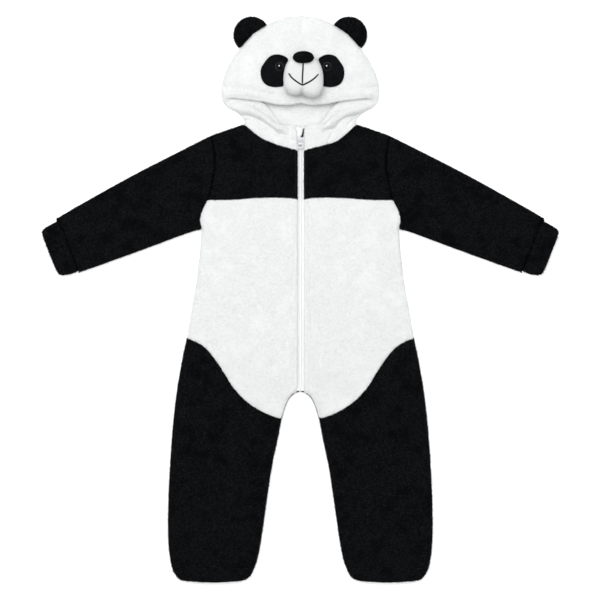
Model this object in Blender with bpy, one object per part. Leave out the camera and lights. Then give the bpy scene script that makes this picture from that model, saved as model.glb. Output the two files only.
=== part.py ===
"""A toddler's panda onesie in thick fleece, zipped up and laid flat on its back with the arms spread.

The origin is on the floor under the middle of the garment. +Y runs to the hood, +Z is up off the
floor, and +X is the wearer's left. Sizes are in millimetres and become metres where meshes are made.

Front and back lie on each other and meet along the outline, SEAM_Z above the floor. Every cloth piece
is a wall of WALL between an outer and an inner surface. Away from the outline a layer is LAYER high,
and it rolls over to the outline within ROLL. Only the half with x > 0 is drawn. The rest is mirrored.
"""

import math
from collections import namedtuple

import bmesh
import bpy
import numpy as np

MM = 0.001

# Cloth
WALL = 3.5
GAP = 0.3
ON_LINE = 0.05
LAYER = 5.3
SEAM_Z = LAYER
ROLL = 8.0
SEAM_DIP = 1.2

# Hood
DOME = 7.0
DOME_REACH = 60.0
HEM_WIDTH = 25.0
NECK_BOW = 8.4
NECK_SKEW = 1.3

# Face: its middle line lies a little to the wearer's left of the garment's
FACE_X = 5.0
MUZZLE_UP = 362.5
CLEFT_DEPTH = 5.0
CLEFT_WIDTH = 4.5
NOSE_UP = 394.6
NOSE_SIZE = (34.6, 22.0)
PATCH_THICKNESS = 2.0
EYE_OUT = 39.0
EYE_UP = 382.3
EAR_CENTRE = (80.3, 435.9)
EAR_RADIUS = 29.2
EAR_MIDDLE = (87.3, 443.4)
EAR_HEIGHT = 7.0
EAR_PLEAT = (2.5, 4.0)

# Zip: the cloth ends ZIP_EDGE to each side of it
ZIP_EDGE = 7.0
TAPE_Z = (5.9, 6.7)
COIL_WIDTH = 2.7
COIL_Z = 8.6
SLIDER_BACK = (254.5, 266.5)
SLIDER_HALF_WIDTH = 4.2
SLIDER_WALL = 0.9
SLIDER_Z = (7.0, 8.9, 10.1)
ARCH_HALF_WIDTH = 1.0
ARCH_BAR = 1.0
PIVOT = (0.0, 262.3, 11.5)
TAB_THICKNESS = 1.5


def table(columns, *values):
    """A short table: one row with named columns for each section or fold."""
    row = namedtuple("Row", columns)
    return [row(*value) for value in values]


# Corners that several pieces share
NECK_POINT = (92.1, 288.4)
NECK_FRONT = (ZIP_EDGE, 244.6)
NECK_BACK_Y = 281.0
ARM_TOP = (147.0, 269.4)
ARMPIT = (162.2, 115.8)
YOKE_SIDE = (152.1, 163.0)
HIP = (187.3, -64.4)
CROTCH_FRONT = (ZIP_EDGE, -154.0)
CROTCH_BACK = (0.0, -152.8)
BACK_SEAM_TOP = (0.0, -130.0)
CROTCH_SIDE = (31.2, -197.0)
HEM_IN = (97.0, -464.6)
HEM_OUT = (187.0, -465.0)

# Lines of the cut, from the middle line out or from the bottom up
YOKE_SEAM = table("across up", (ZIP_EDGE, 165.2), (55.8, 166.7), (103.0, 163.8), YOKE_SIDE)
ARMHOLE_YOKE = table("across up", YOKE_SIDE, (144.0, 198.8), (141.1, 232.8), ARM_TOP)
ARMHOLE_BODY = table("across up", ARMPIT, (165.0, 130.8), (160.5, 148.0), YOKE_SIDE)
SIDE = table("across up", HIP, (179.9, -21.5), (170.8, 31.4), (165.0, 84.2), ARMPIT)
CROTCH = table("across up", CROTCH_FRONT, (13.0, -157.2), (20.5, -166.0), (26.2, -180.0), CROTCH_SIDE)
LEG_SEAM = table(
    "across up",
    CROTCH_SIDE,
    (42.9, -194.0),
    (66.5, -183.8),
    (90.1, -167.5),
    (110.7, -145.4),
    (125.4, -121.9),
    (140.1, -99.8),
    (154.9, -82.2),
    (170.0, -71.5),
    HIP,
)
BACK_LEG_SEAM = table(
    "across up", BACK_SEAM_TOP, (45.0, -132.0), (88.0, -120.0), (122.0, -98.0), (156.0, -76.0), HIP
)
HEM = table("across up", HEM_IN, (140.0, -467.0), HEM_OUT)
LEG_INSIDE = table(
    "across up",
    HEM_IN,
    (88.5, -461.6),
    (82.3, -456.0),
    (76.0, -443.0),
    (68.5, -417.5),
    (60.2, -364.7),
    (48.7, -285.5),
    (38.0, -232.7),
    CROTCH_SIDE,
)
LEG_OUTSIDE = table(
    "across up",
    HEM_OUT,
    (197.0, -463.2),
    (205.0, -456.4),
    (212.5, -440.0),
    (217.5, -400.0),
    (217.3, -325.0),
    (212.0, -232.7),
    (205.4, -166.7),
    (197.2, -113.9),
    HIP,
)
SLEEVE_TOP = table("across up", ARM_TOP, (212.0, 236.9), (290.0, 196.4), (394.0, 137.5), (399.0, 129.9))
SLEEVE_UNDER = table(
    "across up", ARMPIT, (186.1, 108.9), (271.0, 77.5), (355.0, 47.5), (366.0, 45.9)
)
CUFF_SEAM = table("across up", (366.0, 45.9), (378.0, 78.0), (388.1, 103.0), (399.0, 129.9))
CUFF_TOP = table("across up", (399.0, 129.5), (411.0, 123.2), (423.5, 115.5))
CUFF_UNDER = table("across up", (366.4, 46.3), (378.5, 41.4), (391.5, 39.2))
CUFF_END = table(
    "across up", (391.5, 39.2), (400.6, 44.6), (415.5, 79.5), (425.4, 107.5), (423.5, 115.5)
)

# One row for each line across a hood half, from the neck seam round the face opening to the middle
# seam: the point on the face edge, the height of that edge's top and its thickness, the point on the
# outline, the height reached on the middle back seam, and 0 on the collar to 1 on the crown.
HOOD_LINES = table(
    "edge_across edge_up edge_top edge_thick out_across out_up back_up crown",
    (7.0, 244.6, 9.6, 2.5, 92.1, 288.4, 281.0, 0.0),
    (7.4, 264.0, 9.6, 2.5, 91.8, 290.4, 282.5, 0.0),
    (9.2, 283.6, 9.6, 2.5, 92.0, 294.0, 285.0, 0.0),
    (31.0, 288.0, 9.6, 3.4, 95.0, 300.0, 290.0, 0.0),
    (43.0, 303.5, 9.4, 4.8, 106.0, 309.0, 297.0, 0.0),
    (62.0, 324.5, 8.6, 4.2, 118.6, 315.4, 303.0, 0.0),
    (108.0, 329.0, 7.3, 3.3, 126.0, 322.5, 308.0, 0.0),
    (116.0, 329.8, 9.8, 3.6, 129.2, 330.5, 313.0, 0.5),
    (109.0, 331.0, 13.4, 4.2, 130.4, 343.5, 320.0, 1.0),
    (86.0, 328.4, 16.2, 5.8, 127.2, 362.5, 331.0, 1.0),
    (61.0, 325.0, 16.8, 6.0, 118.4, 384.2, 345.0, 1.0),
    (38.0, 320.6, 17.0, 6.0, 101.6, 410.8, 361.0, 1.0),
    (18.0, 319.8, 17.0, 6.0, 72.5, 441.2, 378.0, 1.0),
    (6.0, 322.0, 17.0, 6.0, 30.5, 463.6, 393.0, 1.0),
    (0.0, 322.9, 17.0, 6.0, 0.0, 467.0, 402.0, 1.0),
)
HOOD_STEPS = 2

# Folds pressed into the front: a soft line from one point to another, its half width and its height
FOLDS = table(
    "x y to_x to_y width height",
    (-20.0, -90.0, -32.0, 60.0, 13.0, -1.4),
    (24.0, -60.0, 40.0, -150.0, 12.0, 1.5),
    (32.0, 30.0, 22.0, -60.0, 14.0, -1.3),
    (-60.0, -120.0, -110.0, 10.0, 17.0, 1.3),
    (75.0, -110.0, 120.0, 20.0, 17.0, 1.3),
    (-145.0, 120.0, -95.0, 60.0, 15.0, 1.4),
    (142.0, 130.0, 100.0, 60.0, 15.0, 1.4),
    (-120.0, -190.0, -150.0, -330.0, 18.0, 1.2),
    (130.0, -180.0, 155.0, -350.0, 18.0, 1.2),
    (-95.0, -420.0, -140.0, -380.0, 14.0, 1.4),
    (100.0, -425.0, 150.0, -385.0, 14.0, 1.4),
    (-190.0, 160.0, -290.0, 120.0, 16.0, 1.3),
    (195.0, 155.0, 300.0, 125.0, 16.0, 1.3),
)
# The soft roll of the lapel, from the corner of the face opening down to the zip
LAPEL_ROLL = table("across up", (108.0, 316.0), (83.0, 312.0), (65.0, 304.0), (50.0, 293.0), (36.0, 281.0))
LAPEL_CREASE = table("across up", (92.0, 302.5), (75.0, 298.8), (58.0, 288.4), (42.0, 276.3), (25.0, 271.0))
ROLL_HEIGHT = 3.0
ROLL_WIDTH = 9.0
CREASE_DEPTH = 1.8
CREASE_WIDTH = 4.5
# The corner of the face opening, where the crown's hem lies on the collar's and presses it down
FACE_CORNER = (110.0, 331.0)
CORNER_REACH = 28.0
CORNER_PINCH = 2.6

# The filled face pieces. Outlines run round from the top, out from the face line or as they lie.
MUZZLE_OUTLINE = table(
    "across up",
    (5.0, 401.5),
    (19.5, 399.0),
    (30.0, 387.0),
    (36.0, 373.5),
    (37.4, 356.0),
    (35.9, 342.5),
    (29.5, 333.0),
    (20.0, 329.9),
    (9.5, 332.1),
    (2.5, 336.5),
    (-6.0, 334.3),
    (-15.0, 334.9),
    (-23.6, 341.0),
    (-27.2, 356.0),
    (-25.8, 373.5),
    (-19.7, 388.0),
    (-9.0, 399.0),
)
# Share of the outline, and height above the hood
MUZZLE_RINGS = table(
    "share height",
    (0.90, 0.0),
    (0.975, 4.5),
    (1.0, 11.0),
    (0.985, 18.0),
    (0.93, 23.5),
    (0.8, 28.5),
    (0.58, 31.6),
    (0.3, 33.0),
)
NOSE_RINGS = table("share height", (0.8, 0.0), (1.0, 2.2), (0.96, 4.6), (0.78, 7.0), (0.45, 8.4))
PATCH_OUTLINE = table(
    "out up",
    (24.9, 394.0),
    (32.4, 400.0),
    (42.1, 402.3),
    (53.5, 400.0),
    (62.3, 391.5),
    (69.3, 380.2),
    (70.6, 369.5),
    (66.8, 357.5),
    (58.6, 350.8),
    (48.4, 348.3),
    (37.5, 348.8),
    (32.6, 351.2),
    (32.4, 367.0),
    (30.2, 383.0),
)
PATCH_RINGS = table("share height", (0.97, 0.0), (1.0, 0.9), (0.975, 1.9), (0.7, 2.0), (0.35, 2.0))
EAR_RINGS = table(
    "share rise", (1.0, 0.0), (0.985, 0.42), (0.93, 0.72), (0.8, 0.93), (0.55, 1.0), (0.25, 1.0)
)
EYE_PROFILE = table(
    "radius height",
    (7.3, 0.0),
    (7.3, 0.9),
    (6.8, 1.4),
    (5.9, 1.3),
    (5.4, 0.9),
    (5.3, 2.2),
    (4.8, 4.0),
    (3.6, 5.4),
    (1.9, 6.2),
)

# One row for each station along the zip, from its foot up: the line on which the halves meet, half of
# the space between them, how far the tape reaches, and how much lower it lies.
ZIP_STATIONS = table(
    "up lean part reach drop",
    (-151.5, 0.0, 0.15, 6.4, 0.4),
    (-147.5, 0.0, 0.15, 6.6, 0.2),
    (-144.0, 0.0, 0.15, 13.0, 0.0),
    (-60.0, 0.0, 0.15, 13.0, 0.0),
    (25.0, 0.0, 0.15, 13.0, 0.0),
    (110.0, 0.0, 0.15, 13.0, 0.0),
    (195.0, 0.0, 0.15, 13.0, 0.0),
    (252.0, 0.0, 0.15, 13.0, 0.0),
    (266.6, 0.0, 0.15, 13.0, 0.0),
    (268.8, 2.0, 1.9, 13.0, 0.9),
    (274.5, 4.6, 1.5, 13.0, 1.8),
    (283.0, 6.0, 1.5, 13.0, 1.8),
)
# The slider's bridge, seen from the side: ahead of the pivot and above the slider
ARCH_PATH = table(
    "ahead above", (-3.1, -0.4), (-3.1, 2.4), (-2.2, 3.6), (0.0, 4.1), (2.2, 3.6), (3.1, 2.4), (3.1, -0.4)
)
# The pull tab's outline from its bar down one side, and the two holes in it: half width, down
TAB_OUTLINE = table(
    "half_width down",
    (3.0, -0.75),
    (3.4, -0.3),
    (3.5, 3.8),
    (4.8, 7.0),
    (6.0, 9.8),
    (6.2, 11.6),
    (5.2, 13.5),
    (2.9, 14.6),
)
TAB_WINDOW = table("half_width down", (1.7, 0.75), (1.7, 4.7))
TAB_EYE = table("half_width down", (1.1, 8.1), (2.2, 8.8), (2.4, 9.7), (1.9, 10.7), (0.7, 11.3))

# The sampling of the cut lines, as shares of their length
NECK_SHARES = (0.0, 0.06, 0.18, 0.32, 0.5, 0.68, 0.82, 0.92, 0.98, 1.0)
HOOD_BACK_SHARES = (0.0, 0.035, 0.1, 0.3, 0.62, 1.0)
SHOULDER_SHARES = (0.3, 0.6, 0.85, 1.0)
YOKE_SHARES = (0.0, 0.04, 0.12, 0.21, 0.32, 0.44, 0.55, 0.65, 0.74, 0.82, 0.89, 0.945, 0.98, 1.0)
ARM_YOKE_SHARES = (0.0, 0.06, 0.25, 0.45, 0.65, 0.83, 0.95, 1.0)
ARM_BODY_SHARES = (0.0, 0.45, 0.88, 1.0)
SIDE_SHARES = (0.0, 0.05, 0.2, 0.4, 0.6, 0.8, 1.0)
ZIP_BODY_SHARES = (0.0, 0.008, 0.027, 0.14, 0.3, 0.46, 0.62, 0.76, 0.9, 1.0)
CROTCH_SHARES = (0.0, 0.25, 0.5, 0.75, 1.0)
LEG_SEAM_SHARES = (0.0, 0.03, 0.1, 0.22, 0.38, 0.55, 0.72, 0.87, 0.96, 1.0)
LEG_SHARES = (0.0, 0.03, 0.06, 0.1, 0.16, 0.28, 0.42, 0.56, 0.7, 0.84, 0.96, 1.0)
SLEEVE_SHARES = (0.0, 0.03, 0.15, 0.32, 0.5, 0.68, 0.85, 0.97, 1.0)
CUFF_SHARES = (0.0, 0.2, 0.75, 1.0)
BACK_YOKE_SHARES = (0.0, 0.15, 0.35, 0.58, 0.78, 0.9, 0.94, 0.96, 0.98, 1.0)


def array(points):
    return np.array([tuple(point) for point in points], float)


def smooth(points, steps=24):
    """A dense line through the points, rounded as Catmull and Rom do, kept straight where they are."""
    points = array(points)
    ends = np.vstack([2 * points[0] - points[1], points, 2 * points[-1] - points[-2]])
    dense = []
    for a, b, c, d in zip(ends, ends[1:], ends[2:], ends[3:]):
        for t in np.arange(steps) / steps:
            cubic = (-a + 3 * b - 3 * c + d) * t**3 + (2 * a - 5 * b + 4 * c - d) * t**2
            dense.append(0.5 * (cubic + (c - a) * t + 2 * b))
    return np.vstack([dense, points[-1:]])


def smooth_loop(points, count):
    """Points spread evenly round a closed smooth line."""
    points = array(points)
    dense = smooth(np.vstack([points[-2:], points, points[:3]]))[48:-48]
    return at_shares(dense, np.linspace(0, 1, count, endpoint=False))


def at_shares(line, shares):
    """The points of a line at shares of its length."""
    run = np.concatenate([[0], np.cumsum(np.linalg.norm(np.diff(line, axis=0), axis=1))])
    return np.column_stack([np.interp(np.array(shares) * run[-1], run, line[:, k]) for k in (0, 1)])


def mirrored(points):
    return points * np.array([-1.0, 1.0, 1.0])[: points.shape[-1]]


def neck_seam(shares):
    """The front neck seam, from the zip to the neck point: a chord that sags most near the shoulder."""
    shares = np.array(shares)[:, None]
    chord = (1 - shares) * np.array(NECK_FRONT) + shares * np.array(NECK_POINT)
    return chord - np.array([0, NECK_BOW]) * np.sin(math.pi * shares**NECK_SKEW)


def back_neck(shares):
    """The back neck seam, from the neck point to the middle."""
    shares = np.array(shares)[:, None]
    middle = np.array([0.0, NECK_BACK_Y])
    return (1 - shares) * np.array(NECK_POINT) + shares * middle


def hood_table():
    """HOOD_LINES with lines added between, all columns following smooth curves."""
    return smooth(HOOD_LINES, HOOD_STEPS)


def outline_runs():
    """The outline of the half with x > 0, clockwise, in the runs that armpits, cuffs and hems part."""
    lines = hood_table()
    hood = lines[::-1, 4:6]
    upper = np.vstack([hood, array([NECK_POINT, ARM_TOP])[1:], smooth(SLEEVE_TOP)[1:]])
    outer = np.vstack([smooth(SIDE)[::-1], smooth(LEG_OUTSIDE)[::-1]])
    inner = np.vstack([smooth(LEG_INSIDE), smooth(CROTCH)[::-1], array([CROTCH_BACK])])
    return [upper, outer, inner, smooth(SLEEVE_UNDER)[::-1]]


def nearest(points, runs):
    """For each point its distance to the runs, and the unit direction away from them."""
    sign = np.where(np.signbit(points[:, :1]), -1.0, 1.0)
    here = points * np.hstack([sign, np.ones_like(sign)])
    best = np.full(len(points), np.inf)
    away = np.zeros((len(points), 2))
    for run in runs:
        start, step = run[:-1], np.diff(run, axis=0)
        length = np.maximum((step**2).sum(1), 1e-12)
        share = ((here[:, None] - start) * step).sum(2) / length
        foot = start + np.clip(share, 0, 1)[..., None] * step
        offset = here[:, None] - foot
        far = np.linalg.norm(offset, axis=2)
        pick = far.argmin(1)
        rows = np.arange(len(points))
        right_hand = np.column_stack([step[:, 1], -step[:, 0]]) / np.sqrt(length)[:, None]
        least = far[rows, pick]
        outward = offset[rows, pick] / np.maximum(least, 1e-9)[:, None]
        direction = np.where((least < ON_LINE)[:, None], right_hand[pick], outward)
        closer = least < best - ON_LINE
        best = np.where(closer, least, best)
        away = np.where(closer[:, None], direction, away)
    best[best < ON_LINE] = 0.0
    return best, away * np.hstack([sign, np.ones_like(sign)])


def rolled(distance):
    """The share of a layer's height that it has at this distance from the outline."""
    return np.sqrt(1 - (1 - np.clip(distance / ROLL, 0, 1)) ** 2)


def along_line(points, start, end):
    """Distance to a straight line between two points, and a share that fades to 0 at its ends."""
    start, end = np.array(start), np.array(end)
    run = end - start
    share = np.clip(((points - start) * run).sum(1) / (run**2).sum(), 0, 1)
    fade = np.sin(math.pi * (0.15 + 0.7 * share))
    return np.linalg.norm(points - start - share[:, None] * run, axis=1), fade


def folds(points):
    height = np.zeros(len(points))
    for fold in FOLDS:
        far, fade = along_line(points, (fold.x, fold.y), (fold.to_x, fold.to_y))
        height += fold.height * fade * np.exp(-((far / fold.width) ** 2))
    return height


def front_layer(points, runs):
    """Outer and inner surfaces of the upper layer at these plan points."""
    distance, away = nearest(points, runs)
    rise = rolled(distance)
    crease = folds(points) * rise
    outer = SEAM_Z + GAP / 2 + (LAYER - GAP / 2) * rise + crease
    inner = SEAM_Z + GAP / 2 + (LAYER - GAP / 2 - WALL) * rise + np.maximum(crease, 0) * 0.8
    inset = points + away * (WALL * (1 - np.clip(distance / ROLL, 0, 1)))[:, None]
    return np.column_stack([points, outer]), np.column_stack([inset, inner])


def back_layer(points, runs):
    """Outer and inner surfaces of the lower layer, flat on the floor away from the outline."""
    distance, away = nearest(points, runs)
    rise = rolled(distance)
    outer = SEAM_Z - GAP / 2 - (LAYER - GAP / 2) * rise
    inner = SEAM_Z - GAP / 2 - (LAYER - GAP / 2 - WALL) * rise
    inset = points + away * (WALL * (1 - np.clip(distance / ROLL, 0, 1)))[:, None]
    return np.column_stack([points, outer]), np.column_stack([inset, inner])


def crown(points, runs):
    """Height of the crown of the hood, which domes over the hollow below it."""
    distance, _ = nearest(points, runs)
    dome = 1 - (1 - np.clip(distance / DOME_REACH, 0, 1)) ** 2
    return SEAM_Z + LAYER * rolled(distance) + DOME * dome


def collar(points, runs):
    """Height of the hood below the face opening, with the rolled lapel and the crease under it."""
    distance, _ = nearest(points, runs)
    side = np.column_stack([np.abs(points[:, 0]), points[:, 1]])
    roll_far, _ = nearest(side, [smooth(LAPEL_ROLL)])
    crease_far, _ = nearest(side, [smooth(LAPEL_CREASE)])
    lapel = ROLL_HEIGHT * np.exp(-((roll_far / ROLL_WIDTH) ** 2))
    lapel -= CREASE_DEPTH * np.exp(-((crease_far / CREASE_WIDTH) ** 2))
    from_corner = np.linalg.norm(side - np.array(FACE_CORNER), axis=1)
    rise = rolled(distance)
    pinched = SEAM_Z + (LAYER - CORNER_PINCH * np.clip(1 - from_corner / CORNER_REACH, 0, 1)) * rise
    return pinched + lapel * rise * np.clip(from_corner / CORNER_REACH, 0, 1)


def patch(bottom, top, left, right):
    """A grid of plan points between four lines: bottom and top run right, left and right run up."""

    def shares(a, b):
        steps = np.linalg.norm(np.diff(a, axis=0), axis=1) + np.linalg.norm(np.diff(b, axis=0), axis=1)
        return np.concatenate([[0], np.cumsum(steps)]) / steps.sum()

    s = shares(bottom, top)[None, :, None]
    t = shares(left, right)[:, None, None]
    across = (1 - t) * bottom[None] + t * top[None]
    upward = (1 - s) * left[:, None] + s * right[:, None]
    low = (1 - s) * bottom[0] + s * bottom[-1]
    high = (1 - s) * top[0] + s * top[-1]
    return across + upward - ((1 - t) * low + t * high)


def side_shift(line, inside):
    """Shifts each point of a seam line by half a seam gap to the inside of its piece."""
    step = np.gradient(line, axis=0)
    normal = np.column_stack([-step[:, 1], step[:, 0]])
    normal /= np.linalg.norm(normal, axis=1)[:, None]
    turn = np.sign((normal * (inside - line)).sum(1))
    turn[turn == 0] = 1
    return normal * turn[:, None] * GAP / 2


def seam_shifts(grid, seams):
    """The plan shift and the dip of every grid point. seams names the sides that are sewn in the layer."""
    shift = np.zeros_like(grid)
    dip = np.zeros(grid.shape[:2])
    sides = {
        "bottom": (np.s_[0, :], np.s_[1, :]),
        "top": (np.s_[-1, :], np.s_[-2, :]),
        "left": (np.s_[:, 0], np.s_[:, 1]),
        "right": (np.s_[:, -1], np.s_[:, -2]),
    }
    for name, stretch in seams.items():
        edge, inside = sides[name]
        moved = side_shift(grid[edge], grid[inside])
        shift[edge][stretch] += moved[stretch]
        dip[edge][stretch] = SEAM_DIP
    return shift, dip


def flat_piece(name, grid, seams, layer, runs, material):
    """A cloth wall over a plan grid that lies in one layer."""
    shape = grid.shape[:2]
    outer, inner = layer(grid.reshape(-1, 2), runs)
    outer, inner = outer.reshape(*shape, 3), inner.reshape(*shape, 3)
    shift, dip = seam_shifts(grid, seams)
    for surface in (outer, inner):
        surface[..., :2] += shift
    if layer is front_layer:
        room = np.maximum(outer[..., 2] - inner[..., 2] - 1.8, 0)
        outer[..., 2] -= np.minimum(dip, room)
    return wall(name, outer, inner, material)


def wall(name, outer, inner, material, ring=False):
    """A closed body between two grids of points. With ring, the last column joins the first."""
    rows, columns = outer.shape[:2]
    mesh = bmesh.new()
    skins = []
    for surface in (outer, inner):
        skins.append([[mesh.verts.new(point * MM) for point in line] for line in surface])
    wrap = columns if ring else columns - 1
    for skin in skins:
        for i in range(rows - 1):
            for j in range(wrap):
                k = (j + 1) % columns
                mesh.faces.new((skin[i][j], skin[i][k], skin[i + 1][k], skin[i + 1][j]))
    out, into = skins
    for i in (0, rows - 1):
        for j in range(wrap):
            k = (j + 1) % columns
            mesh.faces.new((out[i][j], out[i][k], into[i][k], into[i][j]))
    if not ring:
        for j in (0, columns - 1):
            for i in range(rows - 1):
                mesh.faces.new((out[i][j], out[i + 1][j], into[i + 1][j], into[i][j]))
    return body(name, mesh, material)


def body(name, mesh, material):
    """Turns a finished bmesh into an object with outward faces."""
    bmesh.ops.recalc_face_normals(mesh, faces=mesh.faces)
    data = bpy.data.meshes.new(name)
    mesh.to_mesh(data)
    mesh.free()
    data.materials.append(material)
    item = bpy.data.objects.new(name, data)
    bpy.context.scene.collection.objects.link(item)
    return item


def finish(name, colour, roughness, metallic=0.0):
    material = bpy.data.materials.new(name)
    material.use_nodes = True
    shader = material.node_tree.nodes["Principled BSDF"]
    shader.inputs["Base Color"].default_value = (*colour, 1.0)
    shader.inputs["Roughness"].default_value = roughness
    shader.inputs["Metallic"].default_value = metallic
    return material


def black(name):
    return finish(name + "_black_fleece", (0.012, 0.013, 0.014), 0.95)


def white(name):
    return finish(name + "_white_fleece", (0.87, 0.88, 0.89), 0.95)


def both_sides(make):
    """Makes a piece on the wearer's left, x > 0, and its mirror on the right."""
    for side, turn in (("l", lambda points: points), ("r", mirrored)):
        make(side, turn)


def make_fronts(runs):
    neck = neck_seam(NECK_SHARES)
    shoulder = at_shares(array([NECK_POINT, ARM_TOP]), SHOULDER_SHARES)
    yoke_seam = at_shares(smooth(YOKE_SEAM), YOKE_SHARES)
    arm_yoke = at_shares(smooth(ARMHOLE_YOKE), ARM_YOKE_SHARES)
    arm_body = at_shares(smooth(ARMHOLE_BODY), ARM_BODY_SHARES)
    side = at_shares(smooth(SIDE), SIDE_SHARES)
    crotch = at_shares(smooth(CROTCH), CROTCH_SHARES)
    leg_seam = at_shares(smooth(LEG_SEAM), LEG_SEAM_SHARES)

    zip_yoke = at_shares(array([yoke_seam[0], NECK_FRONT]), ARM_YOKE_SHARES)
    yoke = patch(yoke_seam, np.vstack([neck, shoulder]), zip_yoke, arm_yoke)
    outside = np.vstack([side, arm_body[1:]])
    zip_body = at_shares(array([CROTCH_FRONT, yoke_seam[0]]), ZIP_BODY_SHARES)
    front = patch(np.vstack([crotch, leg_seam[1:]]), yoke_seam, zip_body, outside)
    hem = at_shares(smooth(HEM), LEG_SEAM_SHARES)
    leg = patch(
        hem, leg_seam, at_shares(smooth(LEG_INSIDE), LEG_SHARES), at_shares(smooth(LEG_OUTSIDE), LEG_SHARES)
    )

    on_neck = slice(0, len(neck))
    on_armhole = slice(len(side) - 1, None)
    on_leg_seam = slice(len(crotch) - 1, None)
    whole = slice(None)

    def make(side_name, turn):
        flat_piece(
            "front_yoke_" + side_name,
            turn(yoke),
            {"bottom": whole, "top": on_neck, "right": whole},
            front_layer,
            runs,
            black("front_yoke_" + side_name),
        )
        flat_piece(
            "front_body_" + side_name,
            turn(front),
            {"bottom": on_leg_seam, "top": whole, "right": on_armhole},
            front_layer,
            runs,
            white("front_body_" + side_name),
        )
        flat_piece(
            "front_leg_" + side_name,
            turn(leg),
            {"top": whole},
            front_layer,
            runs,
            black("front_leg_" + side_name),
        )

    both_sides(make)


def whole_width(half):
    """A line across the garment from the half that starts on the middle line."""
    return np.vstack([mirrored(half[:0:-1]), half])


def make_backs(runs):
    neck = back_neck(HOOD_BACK_SHARES)[::-1]
    shoulder = at_shares(array([NECK_POINT, ARM_TOP]), SHOULDER_SHARES)
    yoke_half = at_shares(array([(0.0, YOKE_SIDE[1]), YOKE_SIDE]), BACK_YOKE_SHARES)
    arm_yoke = at_shares(smooth(ARMHOLE_YOKE), ARM_YOKE_SHARES)
    arm_body = at_shares(smooth(ARMHOLE_BODY), ARM_BODY_SHARES)
    side = at_shares(smooth(SIDE), SIDE_SHARES)
    outside = np.vstack([side, arm_body[1:]])
    leg_seam = at_shares(smooth(BACK_LEG_SEAM), BACK_YOKE_SHARES)
    whole = slice(None)
    on_armhole = slice(len(side) - 1, None)
    on_neck = slice(len(shoulder), -len(shoulder))

    flat_piece(
        "back_yoke",
        patch(whole_width(yoke_half), whole_width(np.vstack([neck, shoulder])), mirrored(arm_yoke), arm_yoke),
        {"bottom": whole, "top": on_neck, "left": whole, "right": whole},
        back_layer,
        runs,
        black("back_yoke"),
    )
    flat_piece(
        "back_body",
        patch(whole_width(leg_seam), whole_width(yoke_half), mirrored(outside), outside),
        {"bottom": whole, "top": whole, "left": on_armhole, "right": on_armhole},
        back_layer,
        runs,
        white("back_body"),
    )

    inside = np.vstack([smooth(LEG_INSIDE), smooth(CROTCH)[-2:0:-1], array([CROTCH_BACK])])
    middle = at_shares(array([CROTCH_BACK, BACK_SEAM_TOP]), (0.0, 0.2, 0.6, 1.0))
    inside = np.vstack([at_shares(inside, LEG_SHARES), middle[1:]])
    outside = at_shares(smooth(LEG_OUTSIDE), np.append(LEG_SHARES[:-1], (0.97, 0.98, 0.99, 1.0)))
    hem = at_shares(smooth(HEM), BACK_YOKE_SHARES)
    leg = patch(hem, leg_seam, inside, outside)
    on_middle = slice(len(LEG_SHARES) - 1, None)

    def make(side_name, turn):
        name = "back_leg_" + side_name
        flat_piece(name, turn(leg), {"top": whole, "left": on_middle}, back_layer, runs, black(name))

    both_sides(make)


def tube(name, grid, runs, seams, material):
    """A cloth tube pressed flat: the plan grid on top, and again below from its far edge back."""
    shape = grid.shape[:2]
    points = grid.reshape(-1, 2)
    distance, away = nearest(points, runs)
    distance, away = distance.reshape(shape), away.reshape(*shape, 2)
    distance[:, [0, -1]] = 0.0
    rise = rolled(distance)
    inset = grid + away * (WALL * (1 - np.clip(distance / ROLL, 0, 1)))[..., None]
    crease = folds(points).reshape(shape) * rise
    shift, dip = seam_shifts(grid, seams)
    dip = np.minimum(dip, SEAM_DIP * rise)
    grid, inset = grid + shift, inset + shift
    above = np.dstack([grid, SEAM_Z + LAYER * rise + crease - dip])
    below = np.dstack([grid, SEAM_Z - LAYER * rise])
    inner_above = np.dstack([inset, SEAM_Z + (LAYER - WALL) * rise + np.maximum(crease, 0) * 0.8])
    inner_below = np.dstack([inset, SEAM_Z - (LAYER - WALL) * rise])
    outer = np.concatenate([above, below[:, -2:0:-1]], axis=1)
    inner = np.concatenate([inner_above, inner_below[:, -2:0:-1]], axis=1)
    return wall(name, outer, inner, material, ring=True)


def make_sleeves(runs):
    arm_yoke = at_shares(smooth(ARMHOLE_YOKE), ARM_YOKE_SHARES)
    arm_body = at_shares(smooth(ARMHOLE_BODY), ARM_BODY_SHARES)
    armhole = np.vstack([arm_body, arm_yoke[1:]])
    across = np.concatenate([[0], np.cumsum(np.linalg.norm(np.diff(armhole, axis=0), axis=1))])
    across /= across[-1]
    cuff_seam = at_shares(smooth(CUFF_SEAM), across)
    under = at_shares(smooth(SLEEVE_UNDER), SLEEVE_SHARES)
    top = at_shares(smooth(SLEEVE_TOP), SLEEVE_SHARES)
    sleeve = patch(armhole, cuff_seam, under, top)

    cuff_runs = [smooth(CUFF_TOP), smooth(CUFF_UNDER)[::-1]]
    start = cuff_seam.copy()
    start[0], start[-1] = CUFF_UNDER[0], CUFF_TOP[0]
    cuff = patch(
        start,
        at_shares(smooth(CUFF_END), across),
        at_shares(smooth(CUFF_UNDER), CUFF_SHARES),
        at_shares(smooth(CUFF_TOP), CUFF_SHARES),
    )
    whole = slice(None)

    def make(side_name, turn):
        name = "sleeve_" + side_name
        tube(name, turn(sleeve), runs[::-1], {"bottom": whole, "top": whole}, black(name))
        name = "cuff_" + side_name
        tube(name, turn(cuff), cuff_runs, {"bottom": whole}, black(name))

    both_sides(make)


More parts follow.
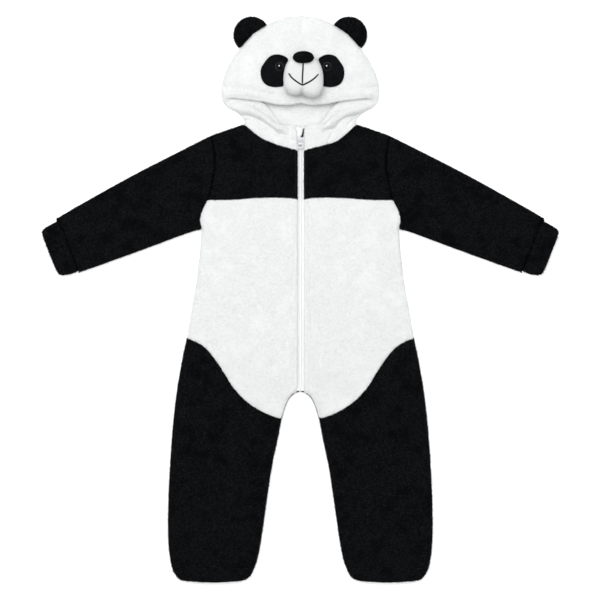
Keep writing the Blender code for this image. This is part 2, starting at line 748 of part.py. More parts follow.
def make_hood(runs):
    lines = hood_table()
    edge, top, thick = lines[:, 0:2], lines[:, 2], lines[:, 3]
    outside, back_up, crowned = lines[:, 4:6], lines[:, 6], np.clip(lines[:, 7], 0, 1)
    rows = len(lines)

    shares = np.array(NECK_SHARES)
    upper = edge[:, None] * (1 - shares)[None, :, None] + outside[:, None] * shares[None, :, None]
    sag = neck_seam(NECK_SHARES) - upper[0]
    fade = np.clip(1 - np.arange(rows) / 8.0, 0, 1) ** 1.5
    upper = upper + sag[None] * fade[:, None, None]

    back_shares = np.array(HOOD_BACK_SHARES)
    middle = np.column_stack([np.zeros(rows), back_up])
    lower = outside[:, None] * (1 - back_shares)[None, :, None] + middle[:, None] * back_shares[None, :, None]

    flat = upper.reshape(-1, 2)
    distance, away = nearest(flat, runs)
    distance, away = distance.reshape(upper.shape[:2]), away.reshape(upper.shape)
    distance[:, -1] = 0.0
    level = crowned[:, None]
    surface = (1 - level) * collar(flat, runs).reshape(level.shape[0], -1)
    surface = surface + level * crown(flat, runs).reshape(level.shape[0], -1)
    surface[:, -1] = SEAM_Z

    run = np.linalg.norm(upper - edge[:, None], axis=2)
    length = run[:, -1:]
    near_edge = np.clip(1 - run / np.minimum(12.0, 0.5 * length), 0, 1)
    hem = np.clip(1.3 * (1 - run / np.minimum(HEM_WIDTH * 1.2, 0.7 * length)), 0, 1)
    outer_z = surface * (1 - near_edge) + top[:, None] * near_edge
    cloth = WALL * (1 - hem) + thick[:, None] * hem
    rise = rolled(distance)
    inner_z = SEAM_Z + (surface - SEAM_Z) * np.where(rise > 0, (LAYER - WALL * rise) / LAYER, 1)
    inner_z = np.where(distance >= ROLL, outer_z - cloth, inner_z)
    inner_z = np.where((distance < ROLL) & (near_edge > 0), np.maximum(outer_z - cloth, 3.9), inner_z)
    lip = np.minimum(1.2, 0.3 * thick)
    outer_z[:, 0] -= lip
    inner_z[:, 0] = np.maximum(inner_z[:, 0] + 0.3 * lip, 3.9)
    tuck = (WALL * (1 - np.clip(distance / ROLL, 0, 1)))[..., None]
    upper_in = upper + away * tuck

    flat = lower.reshape(-1, 2)
    low_distance, low_away = nearest(flat, runs)
    low_distance, low_away = low_distance.reshape(lower.shape[:2]), low_away.reshape(lower.shape)
    low_rise = rolled(low_distance)
    lower_in = lower + low_away * (WALL * (1 - np.clip(low_distance / ROLL, 0, 1)))[..., None]
    under = np.dstack([lower, SEAM_Z - LAYER * low_rise])
    under_in = np.dstack([lower_in, SEAM_Z - (LAYER - WALL) * low_rise])
    outer = np.concatenate([np.dstack([upper, outer_z]), under[:, 1:]], axis=1)
    inner = np.concatenate([np.dstack([upper_in, inner_z]), under_in[:, 1:]], axis=1)
    for skin in (outer, inner):
        skin[..., 0] = np.maximum(skin[..., 0], GAP / 2)
        skin[0, :, 1] += GAP / 2

    def make(side_name, turn):
        name = "hood_" + side_name
        wall(name, turn(outer), turn(inner), white(name))

    both_sides(make)


def blob(name, rings, foot, crest, material):
    """A closed body through rings of points, from its foot point to its crest point."""
    mesh = bmesh.new()
    loops = [[mesh.verts.new(point * MM) for point in ring] for ring in rings]
    count = len(loops[0])
    for low, high in zip(loops, loops[1:]):
        for j in range(count):
            k = (j + 1) % count
            mesh.faces.new((low[j], low[k], high[k], high[j]))
    for loop, pole in ((loops[0], foot), (loops[-1], crest)):
        tip = mesh.verts.new(np.array(pole) * MM)
        for j in range(count):
            mesh.faces.new((loop[j], loop[(j + 1) % count], tip))
    return body(name, mesh, material)


def lifted(points, heights):
    return np.column_stack([points, np.broadcast_to(heights, len(points))])


def ear(runs, count=16):
    """Rings of an ear: a half disc whose straight side follows the hood's outline."""
    hood = smooth(hood_table()[:, 4:6])
    away = hood - np.array(EAR_CENTRE)
    inside = np.flatnonzero(np.linalg.norm(away, axis=1) < EAR_RADIUS)
    base = at_shares(hood[inside], np.linspace(0, 1, 7))
    normal = np.gradient(base, axis=0)
    normal = np.column_stack([normal[:, 1], -normal[:, 0]])
    normal /= np.linalg.norm(normal, axis=1)[:, None]
    normal *= np.sign((normal * (np.array(EAR_MIDDLE) - base)).sum(1))[:, None]
    base = base + normal * GAP
    ends = [math.atan2(*(base[k] - np.array(EAR_CENTRE))[::-1]) for k in (-1, 0)]
    if ends[1] > ends[0]:
        ends[1] -= 2 * math.pi
    angles = np.linspace(*ends, count + 1)[1:-1]
    arc = np.array(EAR_CENTRE) + EAR_RADIUS * np.column_stack([np.cos(angles), np.sin(angles)])
    outline = np.vstack([base, arc])
    middle = np.array(EAR_MIDDLE)
    depth, width = EAR_PLEAT
    above, below = [], []
    for ring in EAR_RINGS:
        loop = middle + (outline - middle) * ring.share
        far, _ = along_line(loop, base[3], middle)
        pleat = depth * np.exp(-((far / width) ** 2)) * ring.rise
        above.append(lifted(loop, SEAM_Z + EAR_HEIGHT * ring.rise - pleat))
        if ring.rise:
            below.append(lifted(loop, SEAM_Z - LAYER * min(1.0, 1.3 * ring.rise)))
    rings = below[::-1] + above
    return rings, (*middle, 0.0), (*middle, SEAM_Z + EAR_HEIGHT)


def make_ears(runs):
    rings, foot, crest = ear(runs)

    def make(side_name, turn):
        name = "ear_" + side_name
        blob(name, [turn(ring) for ring in rings], turn(np.array(foot)), turn(np.array(crest)), black(name))

    both_sides(make)


def muzzle_line():
    return smooth_loop(MUZZLE_OUTLINE, 30)


def cleft(points):
    """The groove that parts the muzzle into two cheeks below the nose."""
    lower = np.clip((MUZZLE_UP - points[:, 1]) / 25.0, 0, 1)
    across = points[:, 0] - FACE_X + 2.0 * lower
    return CLEFT_DEPTH * lower * np.exp(-((across / CLEFT_WIDTH) ** 2))


def muzzle_top(points, runs):
    """Height of the muzzle's upper surface over these plan points."""
    middle = np.array([FACE_X, MUZZLE_UP])
    outline = muzzle_line() - middle
    turn = np.arctan2(outline[:, 1], outline[:, 0])
    order = np.argsort(turn)
    here = points - middle
    reach = np.interp(
        np.arctan2(here[:, 1], here[:, 0]),
        turn[order],
        np.linalg.norm(outline, axis=1)[order],
        period=2 * math.pi,
    )
    share = np.clip(np.linalg.norm(here, axis=1) / reach, 0, 0.93)
    dome = [ring for ring in MUZZLE_RINGS if ring.height >= 11.0][::-1]
    rise = np.interp(share, [ring.share for ring in dome], [ring.height for ring in dome])
    return crown(points, runs) + GAP + rise


def make_face(runs):
    middle = np.array([FACE_X, MUZZLE_UP])
    outline = muzzle_line()
    rings = []
    for ring in MUZZLE_RINGS:
        loop = middle + (outline - middle) * ring.share
        groove = cleft(loop) * min(1.0, ring.height / 20.0)
        rings.append(lifted(loop, crown(loop, runs) + GAP + ring.height - groove))
    under = middle + (outline - middle) * 0.45
    rings.insert(0, lifted(under, crown(under, runs) + GAP))
    floor = crown(middle[None], runs)[0] + GAP
    top = floor + MUZZLE_RINGS[-1].height
    blob("muzzle", rings, (*middle, floor), (*middle, top), white("muzzle"))

    angles = np.linspace(0, 2 * math.pi, 18, endpoint=False)
    unit = np.column_stack([np.cos(angles), np.sin(angles)])
    centre = np.array([FACE_X, NOSE_UP])
    under = centre + unit * np.array(NOSE_SIZE) / 2 * 0.4
    rings = [lifted(under, muzzle_top(under, runs) + 2 * GAP)]
    for ring in NOSE_RINGS:
        loop = centre + unit * np.array(NOSE_SIZE) / 2 * ring.share
        rings.append(lifted(loop, muzzle_top(loop, runs) + 2 * GAP + ring.height))
    seat = muzzle_top(centre[None], runs)[0] + 2 * GAP
    blob("nose", rings, (*centre, seat), (*centre, seat + NOSE_RINGS[-1].height), black("nose"))

    patch_line = smooth_loop(PATCH_OUTLINE, 20)
    patch_middle = patch_line.mean(0)
    for side_name, turn in (("l", 1.0), ("r", -1.0)):
        facing = np.array([turn, 1.0])
        rings = []
        for ring in PATCH_RINGS:
            loop = (patch_middle + (patch_line - patch_middle) * ring.share) * facing + (FACE_X, 0.0)
            rings.append(lifted(loop, crown(loop, runs) + GAP + ring.height))
        under = (patch_middle + (patch_line - patch_middle) * 0.5) * facing + (FACE_X, 0.0)
        rings.insert(0, lifted(under, crown(under, runs) + GAP))
        at = patch_middle * facing + (FACE_X, 0.0)
        floor = crown(at[None], runs)[0] + GAP
        name = "eye_patch_" + side_name
        blob(name, rings, (*at, floor), (*at, floor + PATCH_THICKNESS), black(name))

        at = np.array([FACE_X + turn * EYE_OUT, EYE_UP])
        rim = at + unit * EYE_PROFILE[0].radius
        seat = crown(rim, runs).max() + PATCH_THICKNESS + 2 * GAP
        rings = [lifted(at + unit * row.radius, seat + row.height) for row in EYE_PROFILE]
        name = "eye_" + side_name
        hard = finish(name + "_gloss_black", (0.006, 0.006, 0.007), 0.12)
        blob(name, rings, (*at, seat), (*at, seat + EYE_PROFILE[-1].height + 0.2), hard)


def make_tapes():
    """Both zip tapes, each a thin strip with its half of the coil along the inner edge."""
    low, high = TAPE_Z
    for side_name, turn in (("l", 1.0), ("r", -1.0)):
        loops = []
        for row in ZIP_STATIONS:
            start = turn * row.lean + row.part
            coil = start + COIL_WIDTH
            across = (start, row.reach, row.reach, coil + 0.2, coil, coil - 0.5, start + 0.5, start)
            height = (low, low, high, high, COIL_Z - 0.5, COIL_Z, COIL_Z, COIL_Z - 0.5)
            loops.append([(turn * x, row.up, z - row.drop) for x, z in zip(across, height)])
        name = "zip_tape_" + side_name
        prism(name, np.array(loops), finish(name + "_white_nylon", (0.83, 0.82, 0.86), 0.55))


def prism(name, loops, material):
    """A closed body through loops of points, with a flat face at each end."""
    mesh = bmesh.new()
    rings = [[mesh.verts.new(point * MM) for point in loop] for loop in loops]
    count = len(rings[0])
    for low, high in zip(rings, rings[1:]):
        for j in range(count):
            k = (j + 1) % count
            mesh.faces.new((low[j], low[k], high[k], high[j]))
    mesh.faces.new(rings[0])
    mesh.faces.new(rings[-1])
    return body(name, mesh, material)


def make_slider():
    """The slider's top, an inverted channel over the coil, joined to the bridge that holds the tab."""
    metal = finish("zip_slider_enamel", (0.8, 0.8, 0.83), 0.35, 0.6)
    skirt, ceiling, top = SLIDER_Z
    out, into = SLIDER_HALF_WIDTH, SLIDER_HALF_WIDTH - SLIDER_WALL
    section = [(-out, skirt), (-out, top), (out, top), (out, skirt)]
    section += [(into, skirt), (into, ceiling), (-into, ceiling), (-into, skirt)]
    loops = np.array([[(x, y, z) for x, z in section] for y in SLIDER_BACK])
    slider = prism("zip_slider", loops, metal)

    path = array(ARCH_PATH)
    step = np.gradient(path, axis=0)
    step /= np.linalg.norm(step, axis=1)[:, None]
    inward = np.column_stack([step[:, 1], -step[:, 0]]) * ARCH_BAR
    skins = []
    for line in (path, path + inward):
        place = line + np.array([PIVOT[1], top])
        skins.append(
            np.stack([np.insert(place, 0, x, axis=1) for x in (-ARCH_HALF_WIDTH, ARCH_HALF_WIDTH)], axis=1)
        )
    arch = wall("zip_slider_arch", *skins, metal)
    arch.hide_render = True
    arch.display_type = "WIRE"
    union = slider.modifiers.new("bridge", "BOOLEAN")
    union.operation = "UNION"
    union.object = arch


def make_tab():
    """The pull tab: a flat plate with a window over the bridge and an eye near its end."""
    shape = bpy.data.curves.new("zip_pull", "CURVE")
    shape.dimensions = "2D"
    shape.fill_mode = "BOTH"
    shape.extrude = TAB_THICKNESS / 2 * MM
    for rows in (TAB_OUTLINE, TAB_WINDOW, TAB_EYE):
        half = [(row.half_width, -row.down) for row in rows]
        loop = half + [(-x, y) for x, y in half[::-1]]
        spline = shape.splines.new("POLY")
        spline.points.add(len(loop) - 1)
        spline.use_cyclic_u = True
        for point, (x, y) in zip(spline.points, loop):
            point.co = (x * MM, y * MM, 0.0, 1.0)
    shape.materials.append(finish("zip_pull_enamel", (0.8, 0.8, 0.83), 0.35, 0.6))
    tab = bpy.data.objects.new("zip_pull", shape)
    tab.location = [size * MM for size in PIVOT]
    bpy.context.scene.collection.objects.link(tab)


def remove_all():
    for item in list(bpy.data.objects):
        bpy.data.objects.remove(item)


def main():
    remove_all()
    runs = outline_runs()
    make_fronts(runs)
    make_backs(runs)
    make_sleeves(runs)
    make_hood(runs)
    make_ears(runs)
    make_face(runs)
    make_tapes()
    make_slider()
    make_tab()


main()
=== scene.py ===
import math

import bmesh
import bpy
import numpy as np
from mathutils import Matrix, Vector


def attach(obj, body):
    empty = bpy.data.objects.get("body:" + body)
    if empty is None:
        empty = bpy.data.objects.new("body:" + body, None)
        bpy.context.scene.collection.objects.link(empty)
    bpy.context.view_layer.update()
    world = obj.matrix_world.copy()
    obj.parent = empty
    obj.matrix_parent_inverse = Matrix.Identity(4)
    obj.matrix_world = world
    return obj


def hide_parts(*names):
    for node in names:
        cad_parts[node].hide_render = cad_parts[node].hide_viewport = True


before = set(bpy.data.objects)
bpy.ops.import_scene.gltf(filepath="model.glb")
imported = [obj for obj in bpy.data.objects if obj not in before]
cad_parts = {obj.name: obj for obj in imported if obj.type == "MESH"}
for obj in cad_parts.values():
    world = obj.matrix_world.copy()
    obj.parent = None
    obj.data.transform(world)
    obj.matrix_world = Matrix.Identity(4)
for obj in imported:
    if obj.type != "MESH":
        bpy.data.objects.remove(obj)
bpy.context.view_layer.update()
mm = 0.001

# The onesie lies on its back: x runs to the wearer's left, y to the hood, z up. Sizes are in mm.

cloth = {"wall": 3.5, "layer": 5.3, "seamHeight": 5.3, "roll": 8.0, "gap": 0.3, "step": 5.0, "edgeStep": 1.4}

# The cut, for the half with x > 0. Each line runs from the middle out or from the bottom up.
cut = {
    "yokeSeam": [
        (6.0, 163.2), (11.0, 165.0), (30.0, 166.6), (55.8, 166.7), (80.0, 165.6), (103.0, 163.8),
        (128.0, 162.9), (152.1, 163.0),
    ],
    "armholeYoke": [(152.1, 163.0), (144.0, 198.8), (141.1, 232.8), (147.0, 269.4)],
    "armholeBody": [(162.2, 115.8), (165.0, 130.8), (160.5, 148.0), (152.1, 163.0)],
    "side": [(187.3, -64.4), (179.9, -21.5), (170.8, 31.4), (165.0, 84.2), (162.2, 115.8)],
    "crotch": [(6.0, -154.0), (13.0, -157.2), (20.5, -166.0), (26.2, -180.0), (31.2, -197.0)],
    "legSeam": [
        (31.2, -197.0), (42.9, -194.0), (66.5, -183.8), (90.1, -167.5), (110.7, -145.4),
        (125.4, -121.9), (140.1, -99.8), (154.9, -82.2), (170.0, -71.5), (187.3, -64.4),
    ],
    "backLegSeam": [
        (0.0, -130.0), (45.0, -132.0), (88.0, -120.0), (122.0, -98.0), (156.0, -76.0), (187.3, -64.4),
    ],
    "legInside": [
        (97.0, -465.0), (88.5, -461.9), (82.3, -456.2), (76.0, -443.0), (68.5, -417.5), (60.2, -364.7),
        (48.7, -285.5), (38.0, -232.7), (31.2, -197.0),
    ],
    "legOutside": [
        (187.0, -465.4), (197.0, -463.6), (205.0, -456.8), (212.5, -440.0), (217.5, -400.0),
        (217.3, -325.0), (212.0, -232.7), (205.4, -166.7), (197.2, -113.9), (187.3, -64.4),
    ],
    "legHem": [(97.0, -465.0), (140.0, -467.4), (187.0, -465.4)],
    "shoulder": [(92.1, 288.4), (147.0, 269.4)],
    "sleeveTop": [(147.0, 269.4), (212.0, 236.9), (290.0, 196.4), (394.0, 137.5), (399.0, 129.9)],
    "sleeveUnder": [(162.2, 115.8), (186.1, 108.9), (271.0, 77.5), (355.0, 47.5), (366.0, 45.9)],
    "cuffSeam": [(366.0, 45.9), (378.0, 78.0), (388.1, 103.0), (399.0, 129.9)],
    "cuffTop": [(399.0, 129.5), (411.0, 123.2), (423.5, 115.5)],
    "cuffUnder": [(366.4, 46.3), (378.5, 41.4), (391.5, 39.2)],
    "cuffEnd": [(391.5, 39.2), (400.6, 44.6), (415.5, 79.5), (425.4, 107.5), (423.5, 115.5)],
    "zipEdge": 6.0,
    "zipShift": 1.6,  # the right-hand pieces come this much nearer to the zip
    "zipShiftReach": 30.0,
    "neckDrop": 2.8,  # the left half of the neck seam hangs this much lower
    "neckDropAt": (61.0, 264.0, 26.0, 23.0),  # middle, then width and height of the part that hangs
    "neckSag": 8.4,
    "neckFront": (6.0, 244.6),
    "neckPoint": (92.1, 288.4),
    "neckBack": 281.0,
    "backCrotch": (0.0, -152.8),
    "backSeamTop": (0.0, -130.0),
}

# Seam lines pressed into the cloth: line, depth, half width. All are alike on both sides.
frontSeams = [
    ("yokeSeam", 1.0, 1.6), ("armholeYoke", 2.2, 1.8), ("armholeBody", 1.6, 2.3), ("legSeam", 1.0, 1.6),
    ("cuffSeam", 2.4, 2.0),
]
# Soft folds and hollows of the front: from x y to x y, half width, height
frontFolds = [
    (-20, -90, -32, 60, 13, -1.4), (24, -60, 40, -150, 12, 1.5), (32, 30, 22, -60, 14, -1.3),
    (-60, -120, -110, 10, 17, 1.3), (75, -110, 120, 20, 17, 1.3), (-145, 120, -95, 60, 15, 1.4),
    (142, 130, 100, 60, 15, 1.4), (-120, -190, -150, -330, 18, 1.2), (130, -180, 155, -350, 18, 1.2),
    (-95, -420, -140, -380, 14, 1.4), (100, -425, 150, -385, 14, 1.4), (-190, 160, -290, 120, 16, 1.3),
    (195, 155, 300, 125, 16, 1.3),
    (-16, -140, -24, -70, 5, -1.3), (-30, -150, -44, -92, 6, 1.0), (19, -142, 26, -84, 5, -1.4),
    (33, -152, 38, -60, 7, 1.1), (44, -160, 55, -108, 6, -0.8), (-46, -160, -62, -110, 6, -0.8),
    (146, 122, 160, 98, 4, -1.1), (138, 132, 150, 92, 5, 0.9), (-150, 118, -158, 96, 4, -0.8),
    (-128, 150, -120, 40, 9, -0.8), (-104, 150, -100, 60, 10, 0.7), (112, 150, 120, 70, 9, -0.8),
    (-86, -452, -136, -441, 4, -1.3), (-118, -436, -84, -446, 4, 0.9), (72, -450, 112, -442, 3.5, -1.5),
    (76, -441, 108, -449, 4, 1.0), (-172, 148, -184, 118, 5, -1.0), (178, 150, 190, 116, 5, -1.0),
    (-345, 128, -366, 88, 6, -0.9), (340, 134, 362, 92, 6, -0.9), (-362, 60, -340, 66, 4, -1.0),
    (360, 60, 338, 66, 4, -1.0), (-88, 268, -120, 232, 9, -0.9), (90, 266, 124, 236, 9, -0.9),
    (-40, 210, -90, 200, 14, 0.8), (50, 214, 100, 196, 14, 0.8), (60, -60, 110, -20, 12, -0.8),
    (-64, -50, -120, -10, 12, -0.8),
]
# Creases of the back, pressed up off the floor. Only hollows, because the back lies flat.
backFolds = [
    (-12, -120, -40, 20, 9, 1.2), (16, -116, 34, 10, 9, 1.1), (-150, 110, -90, 70, 11, 1.2),
    (148, 114, 100, 60, 11, 1.1), (-110, -200, -140, -330, 12, 1.1), (118, -210, 150, -320, 12, 1.2),
    (-90, -430, -150, -415, 6, 1.1), (96, -436, 160, -418, 6, 1.0), (-60, 200, 50, 190, 12, 0.9),
    (-200, 150, -290, 112, 9, 1.0), (206, 146, 280, 118, 9, 1.1), (-70, 60, 60, 72, 13, 0.9),
]


def smooth(points, steps=24):
    # a dense line through the points, rounded as Catmull and Rom do
    points = np.array(points, float)
    ends = np.vstack([2 * points[0] - points[1], points, 2 * points[-1] - points[-2]])
    a, b, c, d = (ends[k : len(ends) - 3 + k, None] for k in range(4))
    t = (np.arange(steps) / steps)[None, :, None]
    cubic = (-a + 3 * b - 3 * c + d) * t**3 + (2 * a - 5 * b + 4 * c - d) * t**2
    dense = 0.5 * (cubic + (c - a) * t + 2 * b)
    return np.vstack([dense.reshape(-1, points.shape[1]), points[-1:]])


def runLength(line):
    return np.concatenate([[0], np.cumsum(np.linalg.norm(np.diff(line, axis=0), axis=1))])


def atShares(line, shares):
    run = runLength(line)
    places = np.asarray(shares) * run[-1]
    return np.column_stack([np.interp(places, run, line[:, k]) for k in range(line.shape[1])])


def cutLine(*names):
    return np.vstack([smooth(cut[name])[min(k, 1) :] for k, name in enumerate(names)])


def fineShares(length, first=True, last=True):
    # shares of a line's length, closer together at the ends where the cloth rolls over
    rim = np.arange(0, cloth["roll"] + 3, cloth["edgeStep"])
    start = rim if first else np.array([0.0])
    stop = length - rim[::-1] if last else np.array([length])
    count = max(3, int((stop[0] - start[-1]) / cloth["step"]) + 1)
    return np.concatenate([start, np.linspace(start[-1], stop[0], count)[1:-1], stop]) / length


def mirrored(points):
    return points * np.array([-1.0, 1.0, 1.0])[: points.shape[-1]]


def bell(distance, width):
    return np.exp(-((distance / width) ** 2))


def ontoHalf(points):
    # the plan point of the wearer's left half that mirrors each point
    return np.column_stack([np.abs(points[:, 0]), points[:, 1]])


def unitRows(vectors):
    return vectors / np.linalg.norm(vectors, axis=1)[:, None]


def placed(name, data):
    # a new object at the origin
    made = bpy.data.objects.new(name, data)
    bpy.context.scene.collection.objects.link(made)
    return made


def evaluatedMesh(source):
    return bpy.data.meshes.new_from_object(source.evaluated_get(bpy.context.evaluated_depsgraph_get()))


def smoothSharp(data, degrees):
    data.shade_smooth()
    data.set_sharp_from_angle(angle=math.radians(degrees))


def towardZip(surface, side):
    # the right-hand edge lies closer to the zip, and the left-hand neck seam hangs a little lower
    across, up = np.abs(surface[..., 0]), surface[..., 1]
    if side == "r":
        fade = np.clip((284 - up) / 24, 0, 1) * np.clip((up + 154) / 12, 0, 1)
        near = bell(across - cut["zipEdge"], cut["zipShiftReach"])
        surface[..., 0] += cut["zipShift"] * fade * near * (across > 1)
    else:
        out, high, wide, tall = cut["neckDropAt"]
        surface[..., 1] -= cut["neckDrop"] * bell(across - out, wide) * bell(up - high, tall)
    return surface


def neckSeam(shares):
    shares = np.asarray(shares)[:, None]
    chord = (1 - shares) * np.array(cut["neckFront"]) + shares * np.array(cut["neckPoint"])
    return chord - np.array([0, cut["neckSag"]]) * np.sin(math.pi * shares**1.3)


# Lines across a hood half, from the neck seam round the face opening to the middle seam. Columns: the
# point on the opening's edge, that edge's height and thickness, the point on the outline, the height
# reached on the middle back seam, and 0 on the collar to 1 on the crown.
hoodLines = [
    (6.0, 244.6, 9.6, 2.5, 92.1, 288.4, 281.0, 0.0),
    (7.0, 264.0, 9.6, 2.5, 91.8, 290.4, 282.5, 0.0),
    (9.2, 283.6, 9.6, 2.5, 92.0, 294.0, 285.0, 0.0),
    (31.0, 288.0, 9.6, 3.4, 95.0, 300.0, 290.0, 0.0),
    (43.0, 303.5, 9.4, 4.8, 106.0, 309.0, 297.0, 0.0),
    (61.0, 324.0, 8.6, 4.2, 118.6, 315.4, 303.0, 0.0),
    (84.0, 333.5, 7.9, 3.7, 122.5, 319.0, 305.5, 0.0),
    (107.0, 332.0, 7.3, 3.3, 126.0, 322.5, 308.0, 0.0),
    (116.0, 329.8, 9.8, 3.6, 129.2, 330.5, 313.0, 0.5),
    (109.0, 331.0, 13.4, 4.2, 130.4, 343.5, 320.0, 1.0),
    (86.0, 328.4, 16.2, 5.8, 127.2, 362.5, 331.0, 1.0),
    (61.0, 325.0, 16.8, 6.0, 118.4, 384.2, 345.0, 1.0),
    (38.0, 320.6, 17.0, 6.0, 101.6, 410.8, 361.0, 1.0),
    (18.0, 319.8, 17.0, 6.0, 72.5, 441.2, 378.0, 1.0),
    (6.0, 322.0, 17.0, 6.0, 30.5, 463.6, 393.0, 1.0),
    (0.0, 322.9, 17.0, 6.0, 0.0, 467.0, 402.0, 1.0),
]


def outlineRuns():
    crownLine = smooth(hoodLines, 5)[::-1, 4:6]
    upper = np.vstack([crownLine, [cut["shoulder"][1]], smooth(cut["sleeveTop"])[1:]])
    outer = np.vstack([smooth(cut["side"])[::-1], smooth(cut["legOutside"])[::-1]])
    inner = np.vstack([smooth(cut["legInside"]), smooth(cut["crotch"])[::-1], [cut["backCrotch"]]])
    return [upper, outer, inner, smooth(cut["sleeveUnder"])[::-1]]


def nearest(points, runs):
    # the distance of each point to the lines, and the unit direction away from them
    sign = np.where(np.signbit(points[:, :1]), -1.0, 1.0)
    here = points * np.hstack([sign, np.ones_like(sign)])
    best = np.full(len(points), np.inf)
    away = np.zeros((len(points), 2))
    for run in runs:
        start, step = run[:-1], np.diff(run, axis=0)
        length = np.maximum((step**2).sum(1), 1e-12)
        rightHand = np.column_stack([step[:, 1], -step[:, 0]]) / np.sqrt(length)[:, None]
        for first in range(0, len(points), 3000):
            some = slice(first, first + 3000)
            share = np.clip(((here[some, None] - start) * step).sum(2) / length, 0, 1)
            offset = here[some, None] - start - share[..., None] * step
            far = np.linalg.norm(offset, axis=2)
            pick = far.argmin(1)
            rows = np.arange(len(pick))
            least = far[rows, pick]
            outward = offset[rows, pick] / np.maximum(least, 1e-9)[:, None]
            direction = np.where((least < 0.05)[:, None], rightHand[pick], outward)
            closer = least < best[some] - 0.05
            best[some] = np.where(closer, least, best[some])
            away[some] = np.where(closer[:, None], direction, away[some])
    best[best < 0.05] = 0.0
    return best, away * np.hstack([sign, np.ones_like(sign)])


def gridNearest(grid, runs):
    distance, away = nearest(grid.reshape(-1, 2), runs)
    return distance.reshape(grid.shape[:2]), away.reshape(grid.shape)


def rollOver(distance, reach=cloth["roll"]):
    return np.sqrt(1 - (1 - np.clip(distance / reach, 0, 1)) ** 2)


def softNoise(points, size, seed):
    # smooth uneven height from -1 to 1 over the plan, with hills of about this size
    rng = np.random.default_rng(seed)
    lattice = rng.uniform(-1, 1, (64, 64))
    at = points / size
    cell = np.floor(at).astype(int)
    t = at - cell
    t = t * t * (3 - 2 * t)
    value = 0
    for i in (0, 1):
        for j in (0, 1):
            weight = (t[:, 0] if i else 1 - t[:, 0]) * (t[:, 1] if j else 1 - t[:, 1])
            value = value + weight * lattice[(cell[:, 0] + i) % 64, (cell[:, 1] + j) % 64]
    return value


def alongSegment(points, start, end):
    # the share of the segment at which each point is nearest to it, and its distance there
    start, run = np.array(start), np.subtract(end, start)
    share = np.clip(((points - start) * run).sum(1) / (run**2).sum(), 0, 1)
    return share, np.linalg.norm(points - start - share[:, None] * run, axis=1)


# what makes the cloth uneven: height, size of the hills and seed of each layer of noise
uneven = {
    "front": [(0.4, 30.0, 3), (0.12, 11.0, 4)], "back": [(0.25, 15.0, 5)],
    "crown": [(1.0, 24.0, 11), (0.3, 11.0, 12)], "collar": [(0.4, 19.0, 13), (0.1, 8.0, 14)],
    "inside": [(0.35, 10.0, 15)], "muzzle": [(0.5, 13.0, 21)], "ear": [(0.5, 11.0, 31)],
}


def unevenness(points, name):
    return sum(height * softNoise(points, size, seed) for height, size, seed in uneven[name])


def foldHeight(points, folds):
    height = np.zeros(len(points))
    for x, y, toX, toY, width, rise in folds:
        share, far = alongSegment(points, (x, y), (toX, toY))
        height += rise * np.sin(math.pi * (0.15 + 0.7 * share)) * bell(far, width)
    return height


def groove(points, line, depth, width):
    return -depth * bell(nearest(points, [line])[0], width)


def cutGroove(points, name, depth, width):
    return groove(points, smooth(cut[name], 8), depth, width)


# the leg's hem: its lowest y, its stitches' height above that, and the groove and swell that they make
hem = {
    "low": -467.0, "stitchUp": 22.0, "depth": 1.0, "width": 1.8, "puff": 0.7, "puffUp": 11.0,
    "puffWidth": 8.0, "backPuff": 0.8,
}
# Depth and half width of further grooves; for the pile, the share of it that is missing and half width, where
# the fleece's colour is also darker as painted shade.
# The last two are how far the back is pressed up at rest and at most.
seamForm = {
    "neckSeam": (1.0, 1.6), "zipBareAndShade": (0.6, 1.6), "partedPileAndShade": (1.5, 2.0), "backSeams": (1.2, 2.3),
    "backLift": 0.25, "backHighest": 2.0,
}


def aboveHem(points, up):
    return points[:, 1] - hem["low"] - up


def frontRelief(points):
    height = foldHeight(points, frontFolds)
    side = ontoHalf(points)
    for name, depth, width in frontSeams:
        height += cutGroove(side, name, depth, width)
    height += groove(side, neckSeam(np.linspace(0, 1, 20)), *seamForm["neckSeam"])
    height -= hem["depth"] * bell(aboveHem(points, hem["stitchUp"]), hem["width"])
    height += hem["puff"] * bell(aboveHem(points, hem["puffUp"]), hem["puffWidth"])
    return height + unevenness(points, "front")


def frontPileAndShade(points):
    # the pile is parted along the zip, the seams between black pieces and the hem's stitches, and there the
    # fleece's colour is darkened as painted shade
    side = ontoHalf(points)
    bareAndShaded = 0.5 * bell(aboveHem(points, hem["stitchUp"]), hem["width"])
    for name in ("armholeYoke", "cuffSeam"):
        bareAndShaded = np.maximum(bareAndShaded, -cutGroove(side, name, *seamForm["partedPileAndShade"]))
    share, width = seamForm["zipBareAndShade"]
    bareAndShaded = np.maximum(bareAndShaded, share * bell(side[:, 0] - cut["zipEdge"], width))
    return 1 - np.minimum(bareAndShaded, 1)


def backRelief(points):
    height = foldHeight(points, backFolds)
    side = ontoHalf(points)
    depth, width = seamForm["backSeams"]
    for name in ("armholeYoke", "armholeBody", "backLegSeam"):
        height -= cutGroove(side, name, depth, width)
    yokeOut, yokeUp = cut["yokeSeam"][-1]
    height += depth * bell(points[:, 1] - yokeUp, width) * (side[:, 0] < yokeOut)
    height += hem["backPuff"] * bell(aboveHem(points, hem["stitchUp"]), hem["width"])
    return np.clip(height + seamForm["backLift"] + unevenness(points, "back"), 0, seamForm["backHighest"])


outline = outlineRuns()
# beside the zip: how deep and how far the edge turns under, then place, width and height of its swell and
# place, width and depth of the groove of its stitches
zipTurn = {"under": (2.6, 3.2), "swell": (5.0, 3.5, 0.5), "stitches": (9.5, 1.5, 0.8)}


def tuckedIn(distance, away):
    # how far the inner skin lies inside the outer one where the edge rolls over
    return away * (cloth["wall"] * (1 - np.clip(distance / cloth["roll"], 0, 1)))[..., None]


